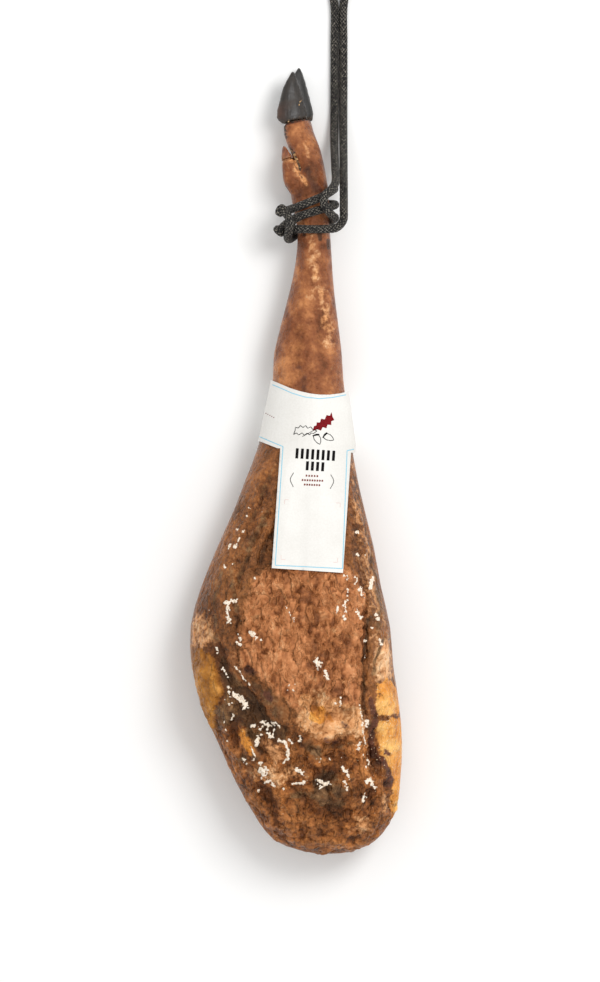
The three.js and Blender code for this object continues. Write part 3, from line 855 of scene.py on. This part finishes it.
def surface_under(*pieces):
    corners, faces = [], []
    for made in pieces:
        first = len(corners)
        corners.extend(v.co.copy() for v in made.data.vertices)
        faces.extend([first + i for i in p.vertices] for p in made.data.polygons)
    return BVHTree.FromPolygons(corners, faces)


def drop(surface, x_mm, y_mm, lift_mm):
    hit, normal, _, _ = surface.ray_cast(Vector((x_mm * MM, y_mm * MM, 0.4)), Vector((0, 0, -1)))
    return None if hit is None else hit + normal * lift_mm * MM


def ragged_film(name, surface, lines, thickness_mm, raggedness):
    points, faces = [], []
    for number, (line, half_width) in enumerate(lines):
        line = np.array(line, float)
        ragged = raggedness * half_width + 0.35
        reach = half_width + 2 * ragged
        x = np.arange(line[:, 0].min() - reach, line[:, 0].max() + reach, FILM_CELL)
        y = np.arange(line[:, 1].min() - reach, line[:, 1].max() + reach, FILM_CELL)
        grid = np.stack(np.meshgrid(x, y, indexing="ij"), axis=-1).reshape(-1, 2)
        wild = noise_at(np.c_[grid, np.full(len(grid), 9.0 * number)], 2.3, 4)
        whole = (half_width - line_distance(grid, line) + 1.7 * ragged * wild).reshape(len(x), len(y))
        kept = {}
        for i in range(len(x) - 1):
            for j in range(len(y) - 1):
                corners = ((i, j), (i + 1, j), (i + 1, j + 1), (i, j + 1))
                if sum(whole[c] for c in corners) <= 0:
                    continue
                for c in corners:
                    if c not in kept:
                        lift = thickness_mm * float(rise(whole[c], -0.3, 1.4)) - FILM_SINKS
                        spot = drop(surface, x[c[0]], y[c[1]], lift)
                        kept[c] = None if spot is None else len(points)
                        if spot is not None:
                            points.append(spot)
                if all(kept[c] is not None for c in corners):
                    faces.append([kept[c] for c in corners])
    made = new_piece(name, points, faces)
    pick(made)
    finish_with(made, "SOLIDIFY", thickness=FILM_BODY * MM, offset=-1)
    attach(made, "root")
    return made


# %% The white flakes
# Each flake: half its width, then x and y of each point. A dot has one point.
FLAKE_ROWS = [
    (1.8, -71.9, -143.2, -65.8, -142.2, -60.8, -141.2),
    (1.8, -68.9, -145.2, -69.8, -153.2, -67.8, -163.2), (2.2, -46.7, -172.2, -40.7, -177.3),
    (1.3, -36.6, -180.3), (1, -58.7, -174.3, -56.7, -180.3), (1.2, -59.7, -183.3, -55.7, -185.3),
    (0.7, -81.8, -188.3, -78.8, -192.3), (0.9, -79.8, -194.3), (1.1, -74.8, -209.3, -70.8, -215.4),
    (0.8, -68.8, -218.4), (0.7, -61.7, -207.3, -56.7, -212.4, -52.7, -220.4, -46.7, -225.4),
    (1.3, -68.3, -228.4, -67.8, -233.4), (2.6, -63.7, -235.5, -56.7, -239.5, -50.7, -246.5),
    (1.6, -52.7, -248.6), (0.8, -72.8, -240.5), (0.9, -67.8, -245.5), (0.7, -64.7, -244.5),
    (1.3, -63.8, -256.7, -64.8, -260.8), (0.7, -70.8, -252.6), (0.8, -72.9, -263.8),
    (0.8, -71.9, -271.9), (0.7, -70.9, -283.2), (1.4, -46.7, -267.9, -42.7, -266.9),
    (0.8, -38.7, -267.9), (1.8, -34.6, -262.8, -28.6, -266.9, -22.6, -264.8),
    (1.4, -30.6, -270.9, -26.6, -278.1), (1, -36.7, -270.9, -32.6, -266.9),
    (0.9, -22.6, -270.9, -24.6, -279.1), (2, -38.7, -279.1, -40.7, -287.2), (1, -35.7, -276),
    (0.6, -45.8, -289.2, -42.7, -296.3, -39.7, -301.4),
    (1.5, -17.6, -281.1, -11.5, -283.2, -8.5, -291.3, -8.5, -299.4, -12.5, -303.4),
    (0.9, -21.6, -261.8, -16.6, -268.9), (1, -7.5, -280.1, -4.5, -284.2), (1.8, -53.8, -301.4),
    (1.5, -50.8, -305.4), (1.3, -43.8, -301.4), (1.6, -36.7, -305.4),
    (2.6, -36.7, -313.5, -30.7, -311.5, -32.7, -317.6),
    (1.8, -30.7, -324.7, -26.7, -322.7, -22.6, -327.8), (0.8, -13.6, -330.8), (1.3, -38.8, -332.9),
    (0.8, -57.9, -77.9, -60.9, -85), (1.2, -61, -68.9), (1.8, -61.9, -86), (1.4, -54.3, -70.9),
    (1.2, -67, -85, -69, -89), (1.4, -73, -107.1), (0.8, -64.9, -104.1), (1.1, -47.9, -47.7),
    (0.9, -50.4, -55.8), (0.5, -33.8, -47.7, -34.8, -52.7), (1.2, -42.7, -118.1), (1, -10.5, -147.2),
    (0.6, -7.5, -151.2, -5.5, -156.2), (1.4, -3.5, -159.2), (1.5, 61, -71.9), (1.4, 61, -95),
    (0.9, 70.1, -95), (0.9, 58.9, -117.1, 61.9, -120.1, 58.9, -124.1),
    (1.1, 50.9, -126.1, 51.9, -132.2), (1.2, 50.8, -136.2), (1.9, 64.9, -130.2, 65.9, -136.2),
    (1.4, 77, -118.1, 75, -128.2), (0.9, 81, -130.2), (0.9, 50.8, -140.2, 46.8, -146.2),
    (1.8, 41.8, -148.2, 40.8, -152.2), (1.1, 48.8, -142.2, 49.8, -152.2),
    (1.2, 47.8, -156.2, 48.8, -160.2), (1.6, 60.9, -152.2, 64.9, -158.2), (1.5, 81, -155.2, 82, -161.2),
    (1.3, 75.9, -168.2), (0.7, -88.9, -151.2), (1.1, 68.9, -181.3), (0.5, 69.9, -190.3, 68.9, -198.3),
    (1.3, 84, -180.3, 86, -185.3), (2.7, 19.6, -201.3, 23.7, -206.3), (0.8, 21.6, -210.3),
    (1.9, 28.7, -212.4, 30.7, -218.4), (0.8, -7.5, -225.4), (0.9, -3.5, -230.4), (0.6, -9.5, -230.4),
    (0.6, -1.5, -224.4), (0.9, 44.7, -236.5, 43.7, -245.5), (1, 38.7, -243.5),
    (0.8, 63.8, -246.5, 65.9, -258.7, 66.9, -274, 71, -289.2), (1.6, 70.9, -261.8, 69.9, -267.9),
    (1.3, 3.6, -277, 4.6, -283.2), (0.9, 2.6, -282.1), (1.4, 64, -284.2, 61.9, -291.3),
    (0.8, 67, -296.3), (1, 33.8, -300.4), (0.6, 44.8, -298.4),
    (0.5, 19.7, -300.4, 21.7, -297.3, 24.7, -299.4, 23.7, -303.4, 20.7, -303.4),
    (0.8, 71, -301.4, 74.1, -305.4, 70, -309.5), (2, 1.5, -311.5, 6.6, -315.6),
    (1.6, -2.5, -325.7, 3.6, -324.7, 9.6, -322.7), (2, 21.7, -322.7, 27.7, -326.7, 32.8, -324.7),
    (1.4, 24.7, -328.8), (1.6, 46.9, -309.5, 50.9, -313.5, 52.9, -318.6),
    (1.5, 48.9, -323.7, 50.9, -330.8), (1.1, 52.9, -320.6),
    (1.8, 71.1, -323.7, 75.1, -321.6, 78.1, -329.8), (1.3, 68.1, -336, 67.1, -344.2),
    (0.9, 70.1, -339.1), (1.2, 47.9, -114.1, 50.9, -119.1),
]  # fmt: skip


def flake_line(row):
    points = [(row[k], row[k + 1]) for k in range(1, len(row), 2)]
    if len(points) == 1:
        x, y = points[0]
        points.append((round(x + 0.6, 1), round(y - 0.4, 1)))
    return points, row[0]


WHITE_FLAKES = [flake_line(row) for row in FLAKE_ROWS]
leg_surface = surface_under(leg)
flakes = ragged_film("white_flakes", leg_surface, WHITE_FLAKES, 0.55, 0.68)
print("flakes", len(WHITE_FLAKES), "with", len(flakes.data.polygons), "faces")


# %% Material: dried fat
def dried_fat():
    # chalky and dull, cream with a brown tinge where it is thin
    material, tree, shader = blank_material("dried_fat_chalky")
    crumbly = add(tree, "TexNoise", {"Vector": object_place(tree), "Scale": 1000 / 1.6, "Detail": 5})
    creams = [(0.3, "#b99b78"), (0.45, "#efdcc4"), (0.6, "#fbf0e0")]
    plug(tree, shader, {
        "Base Color": add(tree, "ValToRGB", {0: crumbly}, stops=creams),
        "Normal": add(tree, "Bump", {"Height": crumbly, "Distance": 0.0006, "Strength": 0.8}),
        "Roughness": 0.75, "IOR": 1.45,
    })  # fmt: skip
    return material


flakes.data.materials.append(dried_fat())

# %% [markdown]
# ## Hooves
# A hoof is a horn sleeve that grows from the skin line down. It has fine grooves along it, faint rings
# across it that follow the skin line, a chipped rim and a bruised reddish spot at its heel. The two
# measured hooves are copied, remeshed and carved by noise that is drawn out along or across them.


# %% Remesh and carve the hooves
SKIN_SLOPE = 0.25  # the skin line climbs this much for each millimetre to the right
TIP_LONGER = 4.4


def carved_hoof(name, node, shift):
    made = open_copy(name, node)
    points, normals = remeshed(made, 0.8, 3)
    points[:, 1] += TIP_LONGER * rise(points[:, 1], 362, 396)
    line = points[:, 1] - SKIN_SLOPE * (points[:, 0] - 2.5)
    grooves = noise_at(points, 1.5, 3, (1, 26, 1), shift)
    rings = np.sin(line / 3.4 * 2 * math.pi + 2.0 * noise_at(points, 20, 2, shift=shift))
    bumps = noise_at(points, 7, 3, shift=shift)
    at_rim = 1 - rise(line, 348, 354)
    chips = noise_at(points, 2.2, 3, shift=shift)
    lift = 0.12 * grooves + 0.06 * rings * (1 - rise(line, 352, 385)) + 0.3 * bumps
    lift += at_rim * (0.7 * chips - 0.25)
    move_to(made, points + normals * lift[:, None])
    store(made, "rim", at_rim)
    heel = np.hypot(points[:, 0] + 18, points[:, 1] - 358) / 9
    store(made, "bruise", np.exp(-(heel**2)))
    print(name, len(made.data.polygons), "faces")
    return made


near_hoof_piece = carved_hoof("hoof_upper", "hoof_inner", 0)
far_hoof_piece = carved_hoof("hoof_lower", "hoof_outer", 40)


# %% Material: hoof horn
def hoof_horn(name, dark, light):
    # keratin, worn smooth: a dark grey with a brown cast, semi-gloss, streaked along its growth
    material, tree, shader = blank_material(name)
    where = object_place(tree)
    drawn_out = add(tree, "Mapping", {0: where, "Scale": (1, 0.12, 1)})
    streaks = add(tree, "TexNoise", {"Vector": drawn_out, "Scale": 1000 / 2.2, "Detail": 5})
    stains = add(tree, "TexNoise", {"Vector": where, "Scale": 1000 / 11, "Detail": 5})
    grit = add(tree, "TexNoise", {"Vector": where, "Scale": 1000 / 1.2, "Detail": 4})
    both = add(tree, "Mix", {0: 0.5, 2: streaks, 3: stains})
    colour = add(tree, "ValToRGB", {0: both}, stops=[(0.36, dark), (0.64, light)])
    bruise = frayed_place(tree, "bruise", stains, 0.5, 0.4)
    faint = add(tree, "Math", {0: bruise, 1: 0.3}, operation="MULTIPLY")
    colour = add(tree, "Mix", {0: faint, 6: colour, 7: linear("#6e4632")}, 2, data_type="RGBA")
    crusts = [(0.4, "#17120e"), (0.58, "#33261a"), (0.7, "#8c7250")]
    crust = add(tree, "ValToRGB", {0: grit}, stops=crusts)
    rim = frayed_place(tree, "rim", grit, 0.5, 0.2)
    fine = add(tree, "Mix", {0: 0.3, 2: streaks, 3: grit})
    plug(tree, shader, {
        "Base Color": add(tree, "Mix", {0: rim, 6: colour, 7: crust}, 2, data_type="RGBA"),
        "Normal": add(tree, "Bump", {"Height": fine, "Distance": 0.0005, "Strength": 0.6}),
        "Roughness": add(tree, "MapRange", {0: stains, 1: 0.3, 2: 0.7, 3: 0.38, 4: 0.6}),
        "IOR": 1.54,
    })  # fmt: skip
    return material


near_hoof_piece.data.materials.append(hoof_horn("hoof_horn_dark", "#120d0a", "#302821"))
far_hoof_piece.data.materials.append(hoof_horn("hoof_horn_grey", "#171614", "#3c3a38"))

# %% [markdown]
# ## Dewclaws
# The two small claws behind the foot are horn too, but thin enough that the light makes them reddish
# brown. Their horn starts as a cuff over the skin and ends in a blunt point.


# %% Remesh the dewclaw horns
def dewclaw_piece(name, node, shift):
    made = open_copy(name, node)
    points, normals = remeshed(made, 0.45, 8)
    grooves = noise_at(points, 1.6, 3, (1, 9, 1), shift)
    bumps = noise_at(points, 4, 3, shift=shift)
    move_to(made, points + normals * (0.35 * grooves + 0.3 * bumps + 0.12)[:, None])
    store(made, "cuff", 1 - rise(points[:, 1], 308, 313))
    print(name, len(made.data.polygons), "faces")
    return made


claws = [
    dewclaw_piece("dewclaw_upper", "dewclaw_inner", 5),
    dewclaw_piece("dewclaw_lower", "dewclaw_outer", 25),
]


# %% Material: dewclaw horn
def dewclaw_horn():
    # keratin a millimetre or two thick, reddish brown, with a pale frayed cuff where it leaves the skin
    material, tree, shader = blank_material("dewclaw_horn_brown")
    drawn_out = add(tree, "Mapping", {0: object_place(tree), "Scale": (1, 0.2, 1)})
    streaks = add(tree, "TexNoise", {"Vector": drawn_out, "Scale": 1000 / 1.8, "Detail": 5})
    browns = [(0.34, "#5d2f17"), (0.5, "#7c4525"), (0.66, "#a0603a")]
    colour = add(tree, "ValToRGB", {0: streaks}, stops=browns)
    cuff = frayed_place(tree, "cuff", streaks, 0.5, 0.3)
    plug(tree, shader, {
        "Base Color": add(tree, "Mix", {0: cuff, 6: colour, 7: linear("#8a5a38")}, 2, data_type="RGBA"),
        "Normal": add(tree, "Bump", {"Height": streaks, "Distance": 0.0004, "Strength": 0.7}),
        "Roughness": 0.42, "IOR": 1.54,
    })  # fmt: skip
    return material


brown_horn = dewclaw_horn()
for claw in claws:
    claw.data.materials.append(brown_horn)

# %% [markdown]
# ## Dry skin at the hoof line and in the fold
# Where horn meets skin there is a dark crumbling rim, the fold beside the dewclaw holds golden crumbs,
# and brown scraps of skin cross from the skin to the horn. They are films like the flakes, dropped on
# the leg, the hooves and the dewclaws together.

# %% Dark rim, golden crumbs and scraps of skin
DARK_RIM = [
    ([(-13.6, 343.8), (-9, 346), (-4, 347.4), (1.5, 349), (7, 350.2), (12, 351.4)], 1.2),
    ([(12, 353), (15, 351.4)], 1.1), ([(-12.6, 343), (-12.4, 338), (-10.4, 332)], 1.2),
    ([(-6, 319.4), (-2, 313), (0.5, 307), (4, 297)], 0.9),
]  # fmt: skip
GOLDEN_CRUMBS = [
    ([(-5.6, 317.5), (-4.6, 316.4)], 0.8), ([(-2.8, 313.6), (-1.6, 312.0)], 0.9),
    ([(-1.2, 309.8), (0.2, 308)], 1.0), ([(1.2, 305.4), (1.8, 304)], 0.7),
    ([(3.2, 300.4), (3.9, 299.2)], 0.6), ([(-8.6, 347), (-7.4, 347.4)], 0.45),
    ([(-6.4, 346.8), (-6, 347)], 0.4), ([(8.6, 351), (9.4, 351.4)], 0.4),
    ([(2.5, 363.7), (3.2, 366.7), (5.6, 369.3)], 0.3),
]  # fmt: skip
SKIN_SCRAPS = [
    ([(-15, 307.4), (-11, 308.2), (-7, 309.4), (-4.4, 310.4)], 1.9), ([(-9.6, 303), (-7.6, 298)], 0.8),
    ([(-3, 303.5), (1.4, 296), (5.4, 289)], 0.9),
]  # fmt: skip
foot_surface = surface_under(leg, near_hoof_piece, far_hoof_piece, *claws)
dark_rim = ragged_film("dark_skin_rim", foot_surface, DARK_RIM, 0.6, 0.9)
crumbs = ragged_film("golden_crumbs", foot_surface, GOLDEN_CRUMBS, 0.9, 0.7)
scraps = ragged_film("skin_scraps", foot_surface, SKIN_SCRAPS, 0.35, 0.5)
for film in (dark_rim, crumbs, scraps):
    print(film.name, len(film.data.polygons), "faces")


# %% Materials: dried skin
def dried_skin(name, dark, light):
    # brittle and matt, mottled by grit of a millimetre
    material, tree, shader = blank_material(name)
    grit = add(tree, "TexNoise", {"Vector": object_place(tree), "Scale": 1000 / 1.3, "Detail": 4})
    plug(tree, shader, {
        "Base Color": add(tree, "ValToRGB", {0: grit}, stops=[(0.36, dark), (0.62, light)]),
        "Normal": add(tree, "Bump", {"Height": grit, "Distance": 0.0006, "Strength": 0.9}),
        "Roughness": 0.6, "IOR": 1.45,
    })  # fmt: skip
    return material


dark_rim.data.materials.append(dried_skin("dried_skin_dark", "#1c1511", "#4d3a2a"))
crumbs.data.materials.append(dried_skin("dried_skin_golden", "#9a6a35", "#e6c18c"))
scraps.data.materials.append(dried_skin("dried_skin_brown", "#74462a", "#a06a42"))

# %% [markdown]
# ## The card label
# A T-shaped card is wrapped round the shank with its tongue down the flesh. The measured card follows
# the leg everywhere, but real card is stiff: its free left edge and lower corners stand off the flesh
# and throw a soft shadow, and the band bows out at the right. Its copy is cut into 4 mm squares by
# bisecting, which leaves its outline alone, and then those parts are lifted.

# %% Cut the card finely and lift its edges
card = open_copy("card_label", "label")
CARD_GRID = 4.0
low_corner, high_corner = (np.array(c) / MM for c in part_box("label"))
bpy.ops.object.mode_set(mode="EDIT")
for axis, way in ((0, (1, 0, 0)), (1, (0, 1, 0))):
    for place in np.arange(low_corner[axis] + 2, high_corner[axis], CARD_GRID):
        bpy.ops.mesh.select_all(action="SELECT")
        spot = [0, 0, 0]
        spot[axis] = place * MM
        bpy.ops.mesh.bisect(plane_co=spot, plane_no=way, threshold=0.00001)
bpy.ops.object.mode_set(mode="OBJECT")

card_points = points_of(card)
across, down = label_place(card_points)
tongue = 1 - rise(down, -80, -60)
free_left = rise(-across, 6, 36) * tongue
corner = rise(-down, 150, 185) * tongue
card_points[:, 2] += 4.5 * free_left + 3.2 * free_left * corner + 1.6 * corner * rise(across, 5, 36)
bow = rise(card_points[:, 0], 36, 57) * rise(down, -64, -54) * rise(card_points[:, 2], 20, 50)
card_points[:, 0] += 2.6 * bow
move_to(card, card_points)
bpy.ops.object.shade_smooth_by_angle(angle=math.radians(38))
print("card faces", len(card.data.polygons))


# %% Material: coated card
def coated_card():
    # white board with a matt coating: nearly even, with faint fibres that only show in raking light
    material, tree, shader = blank_material("coated_card_white")
    where = object_place(tree)
    fibres = add(tree, "TexNoise", {"Vector": where, "Scale": 1000 / 1.8, "Detail": 5})
    handled = add(tree, "TexNoise", {"Vector": where, "Scale": 1000 / 45, "Detail": 3})
    both = add(tree, "Mix", {0: 0.6, 2: fibres, 3: handled})
    plug(tree, shader, {
        "Base Color": add(tree, "ValToRGB", {0: both}, stops=[(0.35, "#dcd9d3"), (0.62, "#e6e4df")]),
        "Normal": add(tree, "Bump", {"Height": fibres, "Distance": 0.0001, "Strength": 0.3}),
        "Roughness": 0.5, "IOR": 1.5,
    })  # fmt: skip
    return material


card.data.materials.append(coated_card())

# %% [markdown]
# ## The print on the card
# The card carries a thin blue border, an ornament, two rows of plain blocks, a pair of curved
# strokes, small dashes and four corner marks. The ornament is an oak sprig of our own, and no letter is
# printed. Each mark is a flat outline that is cut into small triangles and laid just above the card, by
# less than a tenth of a millimetre, as ink lies.

# %% Lay outlines on the card
INK_LIFT = 0.07
INK_GRID = 1.8
STEEPEST = 6  # a triangle that drops further than this hangs off the card's edge
card_surface = surface_under(card)


def ribbon(line, width):
    line = np.array(line, float)
    way = np.gradient(line, axis=0)
    way /= np.linalg.norm(way, axis=1)[:, None]
    side = np.c_[-way[:, 1], way[:, 0]] * width / 2
    return np.vstack([line + side, (line - side)[::-1]])


def fine_line(line, step=1.2):
    line = np.array(line, float)
    return even_steps(np.c_[line, np.zeros(len(line))], step)[0][:, :2]


def ink_triangles(outline):
    outline = fine_line(np.vstack([outline, outline[:1]]), 1.0)[:-1]
    low, high = outline.min(axis=0), outline.max(axis=0)
    columns, rows = (np.arange(a, b, INK_GRID) for a, b in zip(low, high))
    grid = np.array([(x, y) for x in columns for y in rows])
    inner = grid[inside_distance(grid, outline) > 0.5]
    edge = [(i, (i + 1) % len(outline)) for i in range(len(outline))]
    flat = [Vector(p) for p in [*outline.tolist(), *inner.tolist()]]
    corners, _, faces, *_ = delaunay_2d_cdt(flat, edge, [], 1, 1e-5)
    return corners, faces


def face_up_and_clear(made):
    shape = bmesh.new()
    shape.from_mesh(made.data)
    loose = [v for v in shape.verts if not v.link_faces]
    bmesh.ops.delete(shape, geom=loose, context="VERTS")
    for face in shape.faces:
        face.normal_update()
        if face.normal.z < 0:
            face.normal_flip()
    shape.to_mesh(made.data)
    shape.free()


def offset_ink(name, dark, light):
    # a thin layer that lets the card's own sheen through, with a fine speckle from the dots
    material, tree, shader = blank_material(name + "_offset_ink")
    speckle = add(tree, "TexNoise", {"Vector": object_place(tree), "Scale": 1000 / 0.9, "Detail": 3})
    inks = add(tree, "ValToRGB", {0: speckle}, stops=[(0.35, dark), (0.65, light)])
    plug(tree, shader, {"Base Color": inks, "Roughness": 0.7, "IOR": 1.2})
    return material


def inked(name, outlines, dark, light):
    points, faces = [], []
    for outline in outlines:
        corners, cut = ink_triangles(outline)
        laid = [drop(card_surface, c.x, c.y, INK_LIFT) for c in corners]
        first = len(points)
        points.extend(Vector((0, 0, 0)) if spot is None else spot for spot in laid)
        for face in cut:
            if any(laid[i] is None for i in face):
                continue
            heights = [laid[i].z for i in face]
            if max(heights) - min(heights) < STEEPEST * MM:
                faces.append([first + i for i in face])
    made = new_piece(name, points, faces)
    face_up_and_clear(made)
    made.data.materials.append(offset_ink(name, dark, light))
    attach(made, "root")


# %% Border and corner marks
BORDER_WIDTH = 0.9
TOP_BORDER = [(-24.8, 77.9), (-16.7, 74.3), (-4.4, 68.7), (8.6, 64.7), (23.5, 63.1), (37, 64.5),
              (50.7, 67.5)]  # fmt: skip
SIDE_BORDER = [(-38, 25), (-26.8, 20), (-13.6, 14.5), (-21.3, -105.2), (46.5, -108.7), (51.4, 10.5),
               (58.9, 12.1)]  # fmt: skip
border = [ribbon(fine_line(TOP_BORDER), BORDER_WIDTH)]
border += [ribbon(fine_line(pair), BORDER_WIDTH) for pair in zip(SIDE_BORDER[:-1], SIDE_BORDER[1:])]
inked("blue_border", border, "#86c2d8", "#9bd0e2")
MARK_LENGTH = 4.6
MARK_WIDTH = 0.45
# Each corner: where it is, and which way its two strokes go.
CORNERS = [
    ((-12.1, -39.3), 1, -1), ((44.3, -42.6), -1, -1), ((-15.5, -99.5), 1, 1), ((41.5, -102.4), -1, 1),
]  # fmt: skip
marks = []
for (x, y), right, up in CORNERS:
    for end in ((x + MARK_LENGTH * right, y), (x, y + MARK_LENGTH * up)):
        marks.append(ribbon(fine_line([(x, y), end]), MARK_WIDTH))
inked("corner_marks", marks, "#d9bcb4", "#e2c8c0")
print("border and corner marks printed")


# %% Blocks, curved strokes and dashes
def turned(points, degrees, size, shift):
    a = math.radians(degrees)
    turn = np.array([[math.cos(a), math.sin(a)], [-math.sin(a), math.cos(a)]])
    return np.array(points, float) @ turn * size + shift


def tilted(x, y, width, height):
    box = np.array([(-1, -1), (1, -1), (1, 1), (-1, 1)]) * (width / 2, height / 2)
    return turned(box, math.degrees(LABEL_TILT), 1, (x, y))


def row_of_blocks(start, end, count, width, height):
    return [tilted(*spot, width, height) for spot in np.linspace(start, end, count)]


blocks = row_of_blocks((0.6, 7.6), (37.6, 5.2), 8, 2.9, 10.4)
blocks += row_of_blocks((11, -5.0), (26.6, -6.0), 4, 2.9, 9.2)
inked("black_blocks", blocks, "#040404", "#0c0b0a")
curved = [spline([(-2.8, -11.9, 0), (-6.2, -18.8, 0), (-3.1, -26.6, 0)], 8)[:, :2],
          spline([(34.6, -13.8, 0), (37.7, -20.4, 0), (34, -28.5, 0)], 8)[:, :2]]  # fmt: skip
inked("curved_strokes", [ribbon(line, 0.8) for line in curved], "#5d5b58", "#716f6b")
dashes = row_of_blocks((10.2, -15), (21.2, -15.5), 5, 1.7, 2.0)
dashes += row_of_blocks((6.2, -19.4), (26.2, -20.2), 9, 1.7, 2.0)
dashes += row_of_blocks((8.4, -24), (23.2, -24.6), 7, 1.7, 2.0)
dashes += row_of_blocks((-31, 48.6), (-23, 44.2), 5, 1.0, 0.9)
inked("brown_dashes", dashes, "#6e3029", "#8a4a40")

# %% The oak sprig
SPRIG = np.array((19.8, 30.5))
PEN = 0.75
LEAF = [
    (-3, -2), (-1, 2.2), (1.2, 2.4), (1.8, 5.2), (4.8, 4.6), (6.2, 8), (9.4, 6.8), (11.6, 10.6),
    (14.4, 9.4), (16.4, 12.6), (16.8, 8.2), (18, 5), (15, 4.4), (14.6, 1), (11.2, 1.8), (9.8, -1.4),
    (6.6, 0.2), (4.6, -2.8), (1.6, -1.2),
]  # fmt: skip
NUT = [(-4.2, -2.6), (-3.4, -6.4), (-0.6, -9.6), (2.6, -11.4), (3.4, -8.4), (3.2, -5.0), (1.2, -1.8)]
CUP = [(-4.8, -3), (-1.4, -1.2), (2.0, -1.4)]
STALK = [(-14, -6), (-2, 0.5), (3, 3)]


def drawn_round(points):
    # an outline as short strokes of a pen, so that its middle stays bare card
    ring = fine_line(np.vstack([points, points[:1]]), 0.8)
    return [ribbon(ring[i : i + 9], PEN) for i in range(0, len(ring) - 2, 8)]


inked("red_leaf", [turned(LEAF, 8, 1.12, SPRIG + (-0.5, 2.5))], "#650a10", "#85151c")
black = drawn_round(turned(LEAF, 152, 1.0, SPRIG + (-2.5, -0.5)))
for degrees, shift in ((0, (1.5, -2.5)), (38, (9.0, -2.0))):
    black += drawn_round(turned(NUT, degrees, 1.0, SPRIG + shift))
    black.append(ribbon(fine_line(turned(CUP, degrees, 1.0, SPRIG + shift)), 2 * PEN))
black.append(ribbon(fine_line(STALK + SPRIG), 0.8 * PEN))
inked("sprig_outline", black, "#060505", "#100e0d")
print("sprig printed")

# %% [markdown]
# ## The sizes
# The finished pieces have to fill the same box as the measured leg, give or take what soft things may
# stand proud.

# %% Write the sizes
final_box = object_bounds()
for name, box in (("measured", measured_box), ("finished", final_box)):
    print(name, [round(float(b - a), 4) for a, b in zip(*box)])
